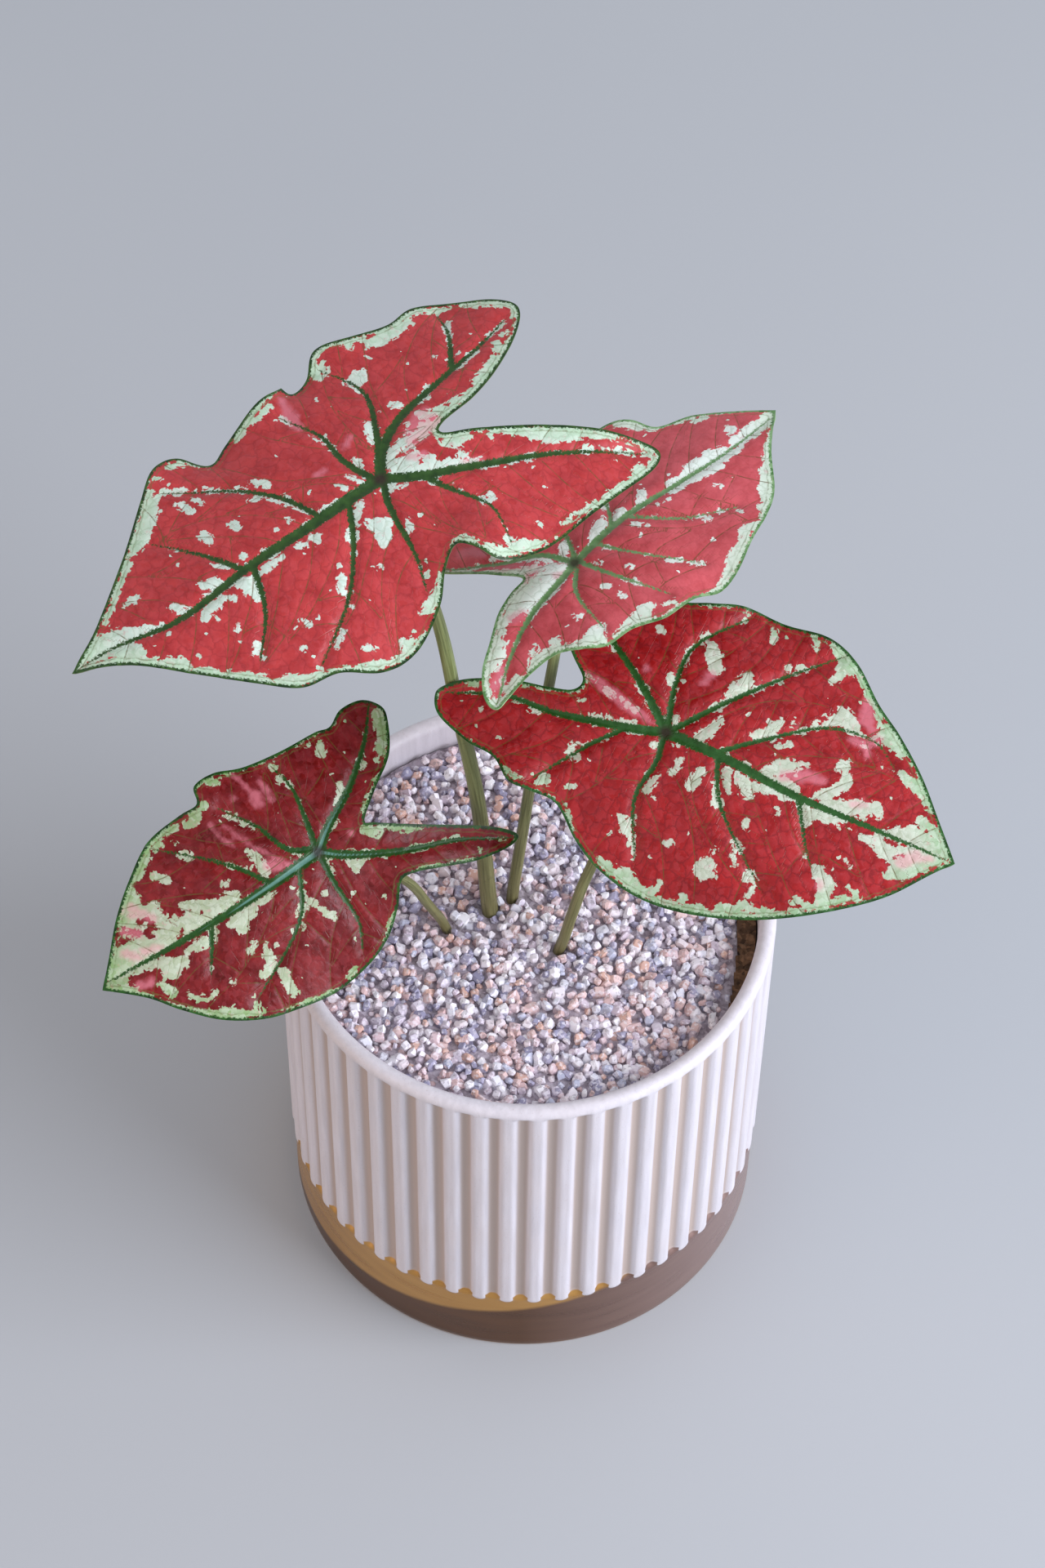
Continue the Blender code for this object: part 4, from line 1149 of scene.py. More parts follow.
# %% Dabs of cream, pink and red, as x,y,half width in photo pixels
CREAM = {
    "leaf_1": """
112,800,5 128,787,10 145,780,9 165,774,7 185,769,5 200,765,3 ; 112,806,5 130,800,8 150,796,10 165,795,9
172,805,6 180,812,6 195,813,5 210,811,6 222,812,6 233,818,3 ; 192,610,4 188,620,5 184,635,6 178,650,7
173,662,7 166,672,5 ; 160,680,3 155,690,3 ; 147,712,2 143,725,2.5 ; 154,740,3 162,733,4 166,738,3 ;
212,744,4 222,747,4 236,747,3 ; 250,717,4 262,714,6 272,716,5 258,727,4 248,731,2.5 ; 263,689,2.5
272,692,2.5 281,694,1.5 ; 297,680,3 ; 290,712,4 300,715,8 310,720,10 314,728,6 312,708,6 ; 270,733,5
262,742,7 254,750,5 252,757,3 ; 281,730,2.5 287,733,2.5 ; 320,700,3 328,694,3 336,687,3 344,681,2 ;
266,760,3 ; 292,765,3 291,770,2.5 ; 381,657,3 388,659,5 390,664,3 ; 364,668,2 374,667,2 ; 396,624,3
405,619,3 412,614,2 ; 308,612,3 322,606,2.5 340,611,3 355,617,3 370,622,2.5 380,626,2 ; 254,600,2.5
266,599,2 278,599,2.5 290,598,2.5 298,600,2.5 ; 218,602,4 227,600,2 ; 221,619,4 228,622,4.5 235,626,3 ;
236,612,2.5 246,616,3 ; 285,641,4 291,644,4 ; 248,654,4 254,659,5 259,664,3 ; 309,589,2 318,591,3.5
326,594,3 ; 351,636,1.5 356,638,2 ; 369,758,2.5 375,761,3.5 378,765,2.5 ; 371,794,3 ; 316,790,4
318,796,3 311,798,2 ; 447,796,3 455,793,3.5 461,797,2.5 ; 243,804,3 ; 343,512,3 350,514,3.5 356,519,2 ;
330,498,2 320,508,3 312,515,3.5 303,522,3 294,532,4 290,538,2.5 ; 205,572,3 215,569,3 228,568,2.5
240,568,2 ; 190,586,2.5 197,584,2 ; 452,520,4 454,530,4 457,540,3 ; 436,563,3 442,572,4 450,582,3 ;
424,584,2 436,588,3 447,591,2.5 ; 425,598,1.5 410,594,1 ; 382,531,2.5 388,537,2.5 ; 396,534,2.5
400,541,2 ; 425,468,3 432,466,4 440,458,6 443,465,5 438,471,3 ; 388,455,3 394,449,5 398,456,3 ;
385,440,3 382,450,4 381,457,3 ; 428,421,4 429,426,2.5 ; 442,615,2.5 438,628,4 436,640,3 ; 456,640,6
466,643,9 470,655,8 470,666,4 ; 466,643,9 476,640,5 ; 420,703,3 418,715,4.5 420,725,3 ; 431,742,3 ;
420,770,2 416,782,2 412,792,2.5 ; 337,836,2 350,836,7 362,835,7 373,832,4 ; 402,831,3 420,826,4
440,822,4 458,818,4 468,814,4 ; 466,694,3 ; 455,420,6 465,416,8 478,408,7 490,400,6 500,395,4 ;
500,385,3 515,381,3 532,379,3 548,377,2.5 ; 578,372,3 584,373,3.5 ; 603,370,3 610,373,4 614,376,2 ;
636,390,2.5 634,402,3.5 632,410,4 627,420,6 620,430,6 612,428,5 608,420,4 ; 610,442,8 602,452,9
592,460,6 585,466,5 ; 602,452,9 597,468,4 ; 578,483,3 568,488,5 558,492,5 553,502,4 ; 548,396,4
549,406,3 550,415,1.5 ; 570,441,3 578,434,3 586,428,2.5 ; 557,449,2.5 ; 604,405,2 612,399,2.5 618,394,2
; 616,409,3 622,407,2 ; 520,474,3 526,471,2.5 ; 478,495,2.5 489,496,2.5 ; 531,436,2 ; 512,505,4
525,508,5 537,505,4 545,510,3 ; 500,520,3 510,528,4 520,520,3 ; 478,560,5 484,548,5 494,540,4 505,535,3
; 485,570,4 500,572,4 515,566,5 527,560,4 ; 540,535,3 555,537,6 565,534,4 575,528,3 ; 580,523,3
600,524,4 625,526,5 650,530,7 670,532,8 690,531,8 710,530,6 728,530,5 745,533,3 765,537,2.5 785,543,2 ;
776,586,4 782,577,5 786,570,3 ; 738,613,4 746,606,4 756,600,3 ; 719,618,2.5 726,619,2 ; 600,605,4
604,608,3 ; 661,642,3 664,645,2 ; 570,656,2 580,665,4 588,672,5 595,672,6 610,676,6 625,672,7 640,668,7
655,668,5 668,662,3 ; 622,655,3 622,664,4 ; 473,592,3 480,598,4 490,595,3 498,592,2 ; 475,606,3 ;
497,636,2.5 502,643,4 500,650,2.5 ; 543,700,3 540,718,4 532,735,7 524,745,6 516,750,3 ; 494,785,4
500,790,5 494,797,4 ; 500,790,5 507,782,3 ; 462,812,4 476,810,3 ; 523,702,2.5 ; 384,445,5 379,455,5
392,462,3 ; 400,421,2.5 415,419,2.5 430,417,3 445,414,3 ; 478,583,5 490,579,6 505,577,6 520,574,5
535,570,5 550,568,4 565,566,3 580,566,2.5 ; 476,566,7 482,556,7 492,546,8 504,538,7 514,528,7 524,518,7
534,508,7 544,500,5 ; 486,570,8 498,564,6 508,556,4 ; 545,540,5 560,540,7 572,534,5 ; 600,567,1.5
615,565,1.5 628,566,1.5 ; 182,605,4 181,620,5 178,640,6 172,655,6 163,668,5 ; 158,690,2.5 152,702,2.5
147,714,2.5 143,726,2.5 139,738,2.5 134,750,2.5 129,762,3 ; 130,812,3.5 150,814,3.5 170,817,3.5
190,819,3 210,821,3 230,823,3 245,824,2 ; 373,832,4 390,829,4 410,826,5 430,822,5 450,819,5 470,814,4
486,808,4 500,800,4 512,790,3 522,778,2.5 ; 534,755,2.5 539,742,4 543,728,4 546,712,4 548,700,3 ;
790,545,2.5 798,552,2.5 801,562,2.5 796,572,2.5 ; 790,578,2.5 778,588,3.5 765,596,3.5 752,603,3
738,613,3 722,620,2.5 705,630,2.5 690,641,2 ; 548,540,4 556,540,6 564,535,7 570,531,4 ; 533,573,3
545,569,4 556,565,4 562,562,2 ; 503,566,6 515,565,7 528,567,5 ; 562,558,2 570,557,2 575,555,1.5 ;
577,566,2 590,563,2 ; 600,530,3.5 602,536,2.5""",
    "leaf_2": """
755,519,4 782,523,4 ; 828,517,2.5 836,515,2.5 ; 846,512,3 855,515,3 862,510,4 ; 893,526,4.5 ; 944,508,5
932,519,8 918,530,7 906,538,5 ; 862,566,4 870,557,7 880,552,5 888,548,4 ; 838,580,3 846,572,6 856,567,6
; 820,591,2.5 830,585,3 ; 890,560,4 900,552,4 905,547,3 ; 858,580,3 868,577,4 880,570,4 ; 838,592,3
848,588,4 ; 822,600,3 830,595,4 ; 944,545,2 941,560,4 938,580,6 937,600,6 940,612,4 ; 932,620,4
938,617,3 ; 908,648,3 918,645,5 930,641,4 ; 918,645,5 913,652,5 ; 914,660,5 905,675,7 898,690,7
893,705,6 886,718,4 876,723,3 862,730,2.5 850,735,2.5 ; 815,741,3 826,736,3 832,746,3 ; 795,742,5
788,752,9 775,765,9 762,775,5 755,780,3 ; 800,762,3 815,757,3 825,750,3 ; 655,812,4 672,802,4 690,797,4
710,795,4 727,790,5 735,779,5 742,790,3 ; 676,786,3 683,784,3 ; 703,756,2.5 710,754,2.5 ; 738,717,2.5
744,717,2.5 ; 757,728,2 765,729,2 ; 775,709,2 781,711,3 ; 769,693,1.5 774,694,1.5 ; 817,684,1.5
832,684,2 ; 728,688,1.5 736,690,1.5 ; 730,645,3 727,655,4 724,664,3 ; 751,638,3 756,631,6 762,626,3 ;
738,633,2 741,641,2 ; 785,602,3 785,612,4 791,614,2 ; 805,616,1.5 812,614,1.5 ; 852,633,2.5 862,629,3
868,635,3 ; 775,641,1.5 793,643,1.5 ; 903,624,2 909,625,2.5 ; 873,595,1.5 884,595,1.5 ; 692,664,4
690,673,5 684,679,3 ; 690,693,5 678,697,9 668,707,10 655,722,12 640,738,11 628,752,8 620,770,6 612,785,6
607,800,7 602,815,6 598,832,5 602,850,4 606,862,3 ; 632,838,3 640,828,4 650,818,5 658,810,5 668,803,4 ;
652,797,3 656,792,2 ; 628,838,3 635,828,4 ; 606,862,3 612,852,3 ; 600,703,4 620,701,4 640,699,4
660,697,5 678,697,5 690,702,4 ; 640,704,3 652,712,4 650,722,4 ; 735,768,4 733,778,5 722,788,5 705,794,4
690,797,4 675,801,5 662,808,6 652,816,6 642,828,5 632,838,5 622,850,4 ; 686,705,5 676,718,6 664,732,5
654,745,4 645,757,3 ; 606,812,4 612,800,4 ; 945,530,3 944,550,4 942,570,4 941,590,4 940,610,4 ;
835,588,5 845,578,7 852,568,7 860,565,6 ; 862,572,6 872,562,7 882,555,7 893,548,4 ; 900,540,6 912,532,7
925,524,7 938,512,6 945,505,4 ; 820,600,4 832,594,4 845,588,4 858,582,4 870,575,4 ; 737,640,6 730,655,5
725,664,3 ; 752,636,5 760,626,4 ; 640,716,4 630,733,4 622,750,4 615,768,4 608,785,4 604,800,4 600,815,4
597,830,4 ; 635,828,4 628,836,4 622,845,3 ; 648,822,6 655,812,6 665,803,6 675,797,6 690,795,5 705,793,5
718,787,6 728,780,5 735,772,4 ; 678,788,3 683,784,4 ; 722,780,5 730,772,6 735,765,4 ; 600,684,2
615,684,2 630,683,2.5 645,683,3 660,684,3 675,686,3""",
    "leaf_3": """
658,956,4 666,952,5 671,957,3 ; 619,943,3 628,948,3 640,952,3 ; 694,963,1.5 703,964,2 ; 692,920,2.5
700,915,3 708,908,2 ; 704,927,4.5 ; 712,911,2 722,907,1.5 ; 738,904,1.5 744,902,1.5 ; 706,854,1.5
714,857,2 ; 649,868,1.5 659,870,2 ; 629,855,1.5 640,858,1.2 ; 746,878,2 756,884,3 768,886,3 778,883,2 ;
720,827,3 728,832,2 ; 742,845,2.5 752,852,3 ; 768,862,3 778,870,3 ; 799,911,2.5 806,909,2.5 ;
801,915,1.5 ; 828,877,3.5 828,886,3.5 824,891,2 ; 822,829,4 823,835,3 ; 808,771,4 813,772,2.5 ;
828,911,2 ; 853,903,4 860,908,4 ; 822,947,2.5 829,938,3.5 836,929,3.5 ; 844,965,4 850,955,6 858,945,5 ;
806,950,2.5 797,960,3 790,967,4 ; 801,977,2 ; 760,1000,3 765,1010,6 768,1020,4 ; 765,1010,6 772,1003,3 ;
776,1000,1 775,1020,1 776,1050,1 ; 769,1034,2 ; 816,1034,2.5 821,1034,3.5 ; 745,1063,2 757,1067,4
768,1072,6 776,1080,5 781,1087,3 ; 790,1092,3 800,1094,4 807,1082,3 ; 800,1100,2.5 820,1107,2.5
840,1110,3 860,1113,3 ; 832,1101,3 838,1100,3 ; 693,985,1 697,1000,1 ; 570,836,3 585,836,3 ; 588,868,1.5
; 915,745,3 917,752,3 ; 873,793,6 875,805,8 878,818,7 ; 860,784,3 865,778,3 ; 946,769,3 948,779,4
947,786,3 ; 997,778,3.5 1001,788,4 1003,794,3 ; 1022,793,3 1030,803,4 1034,812,6 1040,820,4 ; 1034,812,6
1030,825,6 1022,833,4 ; 1045,805,2 1056,825,2 1066,850,2 1076,875,2.5 ; 1015,886,3 1025,880,6 1035,874,6
1043,882,5 1048,890,4 ; 1000,884,1.5 1000,892,1.5 ; 970,886,2 974,886,2 ; 925,901,4 938,896,5 950,890,6
958,884,3 ; 954,914,3 966,912,3 ; 853,905,4 865,898,6 876,889,5 885,881,2.5 ; 882,916,2.5 887,914,2 ;
896,850,5 903,843,6 910,835,6 915,842,4 ; 965,817,3 965,822,2.5 ; 948,836,2 954,834,2 ; 1056,909,2
1060,915,1.5 ; 1066,904,1.5 1072,903,2 ; 1078,900,3 1085,895,5 1090,905,6 1098,915,6 1106,925,3 ;
1105,950,2.5 1113,955,4 1122,962,6 1130,970,5 1138,982,3 ; 1127,1005,2.5 1137,1013,4 1146,1022,4
1150,1030,3 ; 940,946,2.5 950,943,4 955,935,4 965,934,4 978,937,3 990,935,2 ; 945,950,3 960,957,3
968,963,3 ; 1028,938,4 1037,934,4 1038,945,3 1036,957,3 ; 998,975,3 1010,975,5 1022,970,4 1034,965,3
1040,958,2 ; 1005,985,4 1018,990,5 1030,995,6 1045,993,6 1058,990,6 1070,988,6 1075,997,4 ; 1058,990,6
1055,1001,4 ; 907,955,2.5 912,965,4 918,972,5 ; 920,962,4 930,960,3 945,962,3 955,967,3 963,975,2 ;
986,990,4 990,1000,5 985,1006,4 ; 990,1000,5 1000,995,4 1012,998,4 1022,1004,3 1028,1012,3 ; 877,972,4
878,985,4 ; 890,945,4 890,957,4 892,968,3 ; 898,1048,4 900,1058,3 ; 900,1030,3 906,1040,4 ; 912,1077,4
918,1070,4 924,1080,3 ; 921,1088,2.5 917,1097,2.5 ; 914,1006,2.5 914,1013,3 ; 951,990,1.5 951,996,1.5 ;
875,1041,2.5 873,1046,2 ; 855,1060,5 865,1060,8 862,1070,6 872,1072,4 ; 878,1113,3 890,1110,5 900,1114,5
912,1108,5 920,1114,4 935,1117,3 955,1118,2.5 985,1113,2.5 ; 972,1104,4 978,1102,4 ; 985,1108,2
993,1112,2.5 ; 999,1063,3 1003,1073,6 1010,1082,8 1017,1085,5 ; 1010,1082,8 1006,1098,6 1003,1108,6
1020,1105,4 1040,1100,3 ; 1040,1089,3 1047,1093,4 1050,1099,3 ; 1036,1052,1.5 1040,1061,1.5 ;
1055,1025,3 1068,1030,4 1080,1035,5 1083,1045,5 ; 1090,1050,5 1105,1045,10 1120,1050,11 1135,1052,9
1148,1055,6 ; 1105,1045,10 1095,1065,7 1110,1066,6 ; 1078,1020,3 1090,1020,4 1105,1018,5 1120,1018,6
1135,1028,6 1148,1038,5 1158,1048,4 ; 930,950,4 945,944,6 958,940,6 972,939,5 ; 948,955,5 962,960,5
975,966,4 ; 1004,972,5 1018,968,5 1030,960,4 1036,950,4 1037,938,4 ; 1010,985,6 1025,988,7 1042,988,7
1058,988,7 1072,990,5 ; 1005,995,4 1020,1000,4 1035,1003,4 ; 905,950,5 915,960,6 912,970,5 ; 925,965,5
940,965,5 955,970,5 968,978,4 ; 985,990,5 988,1003,5 ; 1000,998,4 1015,1002,4 ; 1010,886,4 1025,884,5
1040,884,6 ; 1030,870,5 1038,876,5 ; 900,848,5 912,840,7 915,830,6 ; 1018,785,3 1030,795,5 1042,806,7
1052,820,6 1060,835,5 1066,850,4 1072,865,3 1080,880,3 ; 1035,815,7 1030,826,5 ; 1085,892,7 1095,905,7
1105,918,5 ; 1105,948,4 1115,957,6 1126,968,6 1136,980,5 1142,992,4 ; 1130,1005,4 1142,1015,6
1150,1028,6 1157,1042,5 ; 1078,1020,4 1095,1022,6 1115,1025,8 1135,1032,8 1150,1042,6 ; 1080,1038,7
1095,1050,9 1115,1052,11 1135,1050,9 1150,1052,5 ; 1090,1070,6 1105,1068,8 1122,1062,7 1138,1058,5 ;
735,1052,2.5 752,1068,5 768,1080,5 785,1092,5 800,1100,4 820,1108,4 840,1113,4 860,1117,4 880,1119,4
900,1121,4 925,1122,4 950,1122,4 975,1120,3 1000,1116,3 1020,1112,3 ; 862,1065,9 868,1058,6 ;
1003,1068,6 1010,1082,9 1010,1098,7""",
    "leaf_4": """
255,958,4 265,957,4 ; 334,938,4 ; 342,954,4 ; 394,912,4 393,922,4 ; 378,912,3 ; 250,987,3 ; 230,1010,4
240,1003,5 244,995,4 ; 277,998,3 287,1003,3.5 300,1009,3 310,1014,3 ; 303,1042,3 310,1048,4 318,1055,4
325,1068,5 ; 190,1036,3 197,1034,3 ; 215,1033,3 ; 222,1046,4 232,1049,4 ; 183,1043,3 177,1055,5
170,1068,5 165,1076,3 ; 189,1073,4 200,1076,4 206,1078,2.5 ; 160,1092,5 158,1103,6 ; 155,1112,7
165,1118,8 178,1115,7 190,1108,4 ; 150,1125,7 165,1128,6 ; 213,1122,3 220,1130,3 ; 253,1118,5 262,1110,6
272,1105,6 282,1108,5 275,1115,5 ; 277,1083,4 ; 286,1096,4 ; 228,1140,3 240,1132,6 252,1127,7 262,1125,6
; 160,1155,8 180,1150,8 200,1145,8 215,1140,5 ; 150,1170,8 165,1175,9 185,1165,9 200,1155,6 ; 145,1185,8
155,1190,7 137,1195,6 ; 197,1185,4 205,1180,7 212,1190,7 220,1188,4 ; 205,1180,7 200,1192,5 ; 230,1165,4
240,1158,4 248,1150,3 ; 265,1146,2.5 ; 285,1130,4 295,1128,7 305,1120,6 310,1110,4 ; 295,1128,7
297,1138,5 ; 315,1107,3 325,1100,3 340,1093,2 ; 308,1163,4 313,1155,3.5 ; 325,1158,3.5 329,1170,5
333,1180,5 325,1193,5 ; 347,1192,5 353,1203,7 360,1213,5 ; 371,1093,4 378,1104,4 ; 371,1135,3 ;
135,1207,4 150,1210,4 165,1212,4 ; 196,1206,3 205,1210,5 212,1216,4 ; 232,1218,3 242,1223,3.5
255,1224,3.5 263,1217,3.5 ; 268,1238,3 288,1239,3 ; 311,1237,3 316,1231,3 ; 284,1202,3 ; 460,875,4
468,890,6 470,905,5 465,920,4 ; 462,930,3 ; 417,962,4 418,975,4 412,985,3 ; 448,1016,4 458,1018,5
468,1012,3 ; 484,1009,4 498,1010,5 512,1011,5 ; 429,1053,5 437,1060,6 444,1054,3 ; 405,1062,4 410,1067,3
; 398,1092,3 ; 392,1114,3 402,1118,4 412,1123,3 ; 384,1105,4 ; 473,1100,2.5 ; 428,1195,3 435,1188,3 ;
587,1043,3 ; 150,1110,8 165,1105,8 160,1130,8 175,1135,7 150,1150,8 140,1175,8 ; 165,1160,8 185,1155,8
205,1150,8 ; 190,1120,7 200,1130,8 215,1135,7 232,1125,7 240,1118,6 ; 225,1110,4 245,1108,6 262,1112,8
275,1105,8 288,1098,6 ; 170,1185,6 185,1178,7 200,1190,7 210,1185,7 225,1178,6 ; 150,1195,7 140,1200,5 ;
240,1160,5 252,1152,5 ; 290,1125,7 300,1115,7 312,1108,5 ; 120,1200,4 122,1180,4 127,1160,4 132,1140,4
137,1120,4 143,1105,4 150,1090,5 156,1078,5 163,1064,5 170,1052,4 178,1040,3 188,1030,3 200,1020,3
215,1012,3 ; 235,995,5 240,1005,5 ; 140,1210,4 160,1216,4 180,1222,3 200,1228,3 220,1233,3 240,1237,3
260,1240,4 280,1241,5 300,1241,4 320,1240,3 ; 462,872,5 468,888,7 470,905,7 466,920,5 ; 480,1010,5
500,1011,6 515,1012,4 ; 448,1016,5 460,1018,6""",
}
# Some pink dabs are painted highlights, where the glossy skin catches the window: on leaf_1 those round
# 350,500, 425,540 and 390,580, on leaf_3 those along its right margin from 1060,860 to 1075,925, and on
# leaf_4 those from 255,945 to 360,1065.
PINK_AND_HIGHLIGHT_DABS = {
    "leaf_1": """
344,488,3 350,500,6 358,512,8 366,524,5 ; 500,530,6 515,518,8 530,512,8 ; 505,540,7 520,528,8 535,515,7
; 500,560,5 520,556,5 ; 423,545,5 430,535,4 ; 388,580,5 398,577,4 ; 506,517,5 512,508,6 520,502,5 ;
515,520,4 499,558,3 ; 568,564,4 580,561,3 590,562,3""",
    "leaf_2": """
605,700,2 625,697,3 645,695,3 665,692,3 ; 647,704,4 643,712,4 ; 616,818,5 610,830,6 ; 690,700,4
680,704,5 ; 628,757,7 640,750,6 ; 612,825,6 606,840,6 ; 600,697,3 630,693,3 660,690,3 ; 565,678,6
580,676,6 592,678,5 ; 650,705,4 658,700,4""",
    "leaf_3": """
718,825,5 730,833,6 742,843,7 757,855,8 772,866,7 787,876,6 798,884,4 ; 792,818,5 ; 872,825,6 864,834,5
858,838,3 ; 1062,860,6 1062,880,10 1068,893,6 ; 1045,905,6 1060,912,8 1075,905,6 ; 1062,912,8 1062,925,5
; 1045,985,5 1060,985,5 ; 1100,1055,5 1120,1050,7 1140,1052,5 ; 960,950,7 985,950,9 1005,955,7 ;
1105,1055,9 1125,1048,8 ; 868,828,7 ; 1005,1085,6""",
    "leaf_4": """
313,975,8 318,985,6 ; 286,977,4 ; 258,1010,3 268,1025,3 285,1035,3 ; 330,1060,8 345,1060,5 ; 160,1120,5
185,1125,5 ; 175,1165,6 195,1160,5 ; 430,1020,4 ; 175,1208,4 ; 155,1140,7 170,1145,6 ; 150,1115,5 ;
160,1112,6 172,1118,6 190,1125,5 ; 155,1168,7 170,1172,6 ; 170,1208,5 185,1203,6 ; 285,948,3 295,958,3.5
305,968,3 ; 318,958,4 326,968,5 332,978,4 ; 275,1012,2.5 288,1022,3 300,1030,3 315,1040,3 330,1048,3.5
345,1055,4 360,1062,4""",
}
RED = {
    "leaf_1": """
130,806,2 140,807,2.5 ; 612,666,2.5 622,665,3 ; 494,532,2 502,526,2.5 510,518,2.5 ; 498,552,1.5
508,546,2 518,541,2 ; 524,535,2 532,528,2.5 538,520,2 ; 512,566,1.5 524,562,1.5 ; 528,553,5 537,551,7.5
544,555,5 ; 490,540,2 497,534,2.5 504,529,2 510,527,1.5 ; 493,549,1.5 500,544,2 507,540,1.5 512,537,1 ;
484,560,2.5 488,556,3 ; 515,543,1.5 520,539,2 526,535,2 ; 534,512,2.5 521,514,2 ; 533,521,1.5
535,528,2.5 540,534,2.5 548,535,2 ; 578,531,3.5 586,532,3.5 592,537,2.5""",
    "leaf_2": """
618,782,3 627,773,5 636,764,5 645,757,4 ; 612,822,3 608,832,3 ; 620,782,4 625,770,5 632,760,5 640,752,4
648,748,3 ; 610,818,3 606,828,5 603,840,4 600,850,2 ; 625,815,5 635,810,6 643,815,5 640,825,3 ;
648,706,2.5 656,702,2.5 664,698,2""",
    "leaf_3": """
1094,1050,1.5 1106,1048,2.5 ; 985,950,7 1005,946,7 1015,950,5""",
    "leaf_4": """
150,1143,3 165,1144,4 180,1142,4 ; 140,1150,3 152,1152,4 165,1147,3 ; 170,1128,2 185,1140,2 ; 145,1143,4
155,1145,4 165,1140,4 178,1141,3 187,1148,2.5 ; 175,1128,3 138,1160,3 137,1168,2 ; 205,1127,3 215,1133,3
222,1137,2.5 ; 172,1205,4 182,1198,5 192,1192,5 ; 180,1212,3 200,1197,3""",
}


# %% From the photograph to the leaf
# Dabs of this half width in pixels or more are spread a little, as a full brush does.
BROAD_DAB = 4.0
SPREAD = 1.1
DEEPEST_OUTSIDE = 6.0


def dabs_on(leaf, text):
    """The dabs of one leaf as arrays of points with half widths, all in millimetres."""
    dabs = [[point.split(",") for point in dab.split()] for dab in text.split(";")]
    noted = np.array(sum(dabs, []), float)
    pixels, halves = noted[:, :2], noted[:, 2]
    spots = on_blade(leaf, pixels)
    side, down = (np.hypot(*(on_blade(leaf, pixels + step) - spots).T) for step in ((1, 0), (0, 1)))
    halves = halves * np.sqrt(side * down) * np.where(halves < BROAD_DAB, 1.0, SPREAD)
    ends = np.cumsum([len(dab) for dab in dabs])[:-1]
    return np.split(np.column_stack([spots, halves]), ends)


def inside_dabs(points, dabs):
    """How deep each point lies inside the nearest dab: above 0 inside, below 0 outside."""
    depth = np.full(len(points), -DEEPEST_OUTSIDE)
    for dab in dabs:
        reach = dab[:, 2].max() + DEEPEST_OUTSIDE
        close = (points > dab[:, :2].min(axis=0) - reach) & (points < dab[:, :2].max(axis=0) + reach)
        close = np.flatnonzero(close.all(axis=1))
        gap, _ = near_line(points[close], dab[:, :2], dab[:, 2])
        depth[close] = np.maximum(depth[close], -gap)
    return depth


# %% Build one blade
SHEET = 0.5
QUILT_EASE = 2.0
FURROW_DEPTH = 0.8
FURROW_RADIUS = 1.6
THIN_FURROW_DEPTH = 0.09
VEIN_BULGE = 0.7
BULGE_RADIUS = 1.1
BULGE_EASE = 4.0
MARGIN_THINNING = 0.22
THINNING_RADIUS = 0.8


def lifted_sheet(leaf, ring, corners, veins, thin, dice):
    """The trimmed sheet with the leaf's height, its veins' furrows and its thickness."""
    bm = trimmed_sheet(ring, corners)
    flat = np.array([v.co[:2] for v in bm.verts])
    to_vein = np.min([near_line(flat, run)[0] for run, _ in veins], axis=0)
    height = blade_height(leaf, *flat.T) - FURROW_DEPTH * np.exp(-(to_vein / FURROW_RADIUS) ** 2)
    height += quilting(flat, dice) * np.clip(to_vein / QUILT_EASE, 0.0, 1.0)
    height -= THIN_FURROW_DEPTH * np.exp(-beside_lines(flat, thin) ** 2)
    for v, z in zip(bm.verts, height):
        v.co.z = z
    bm.normal_update()
    bmesh.ops.solidify(bm, geom=bm.faces[:], thickness=SHEET)
    bm.verts.ensure_lookup_table()
    bm.normal_update()
    return bm


def blade_piece(name, leaf, material, dice):
    """The finished blade, with what its material reads stored on its points."""
    ring, corners = margin_line(leaf)
    veins = vein_lines(name, leaf)
    thin = side_veins(ring, veins, dice)
    bm = lifted_sheet(leaf, ring, corners, veins, thin, dice)
    spots = np.array([v.co[:2] for v in bm.verts])
    under = np.array([v.normal.z < 0.0 for v in bm.verts])
    margin, _ = near_line(spots, np.vstack([ring, ring[:1]]))
    middle = np.min([near_line(spots, run)[0] for run, _ in veins[:3]], axis=0)
    # Below, the three main veins stand out, and the sheet gets thinner towards its margin.
    for v, low, near, rim in zip(bm.verts, under, middle, margin):
        if low:
            bulge = VEIN_BULGE * math.exp(-(near / BULGE_RADIUS) ** 2) * min(1.0, rim / BULGE_EASE)
            v.co.z += MARGIN_THINNING * math.exp(-(rim / THINNING_RADIUS) ** 2) - bulge
    # The pink dabs include painted highlights.
    cream, pink, red = (inside_dabs(spots, dabs_on(leaf, dabs[name])) for dabs in (CREAM, PINK_AND_HIGHLIGHT_DABS, RED))
    turn = Matrix.Translation(leaf["at"]) @ leaf_turn(leaf).to_matrix().to_4x4()
    bmesh.ops.transform(bm, matrix=turn, verts=bm.verts)
    piece = make_piece(name + "_sheet", bm, material, name + "_blade", 50.0)
    mark(piece, "leaf", np.column_stack([spots, under]), "FLOAT_VECTOR")
    mark(piece, "vein", np.min([near_line(spots, run, halves)[0] for run, halves in veins], axis=0))
    mark(piece, "thread", beside_lines(spots, [run for run, _ in veins] + thin))
    mark(piece, "rim", margin)
    mark(piece, "cream", np.minimum(cream, -red))
    mark(piece, "pink", pink)
    print(name, len(thin), "thin side veins")


# %% [markdown]
# ## The blade's finish
#
# The upper skin is thin and slightly waxy, so it has a soft shine. Under it the red lies in fine
# cells between a net of veinlets, so the red is never even, and cream takes or leaves whole
# cells, which makes its ragged edges. The big veins are dark green with feathered sides, and a
# fine olive vein follows the margin, outside which the rim is dark green. An image could hold
# all of this, but only at one size. Here layers of nodes read the distances kept on the blade,
# and stay sharp from close by.

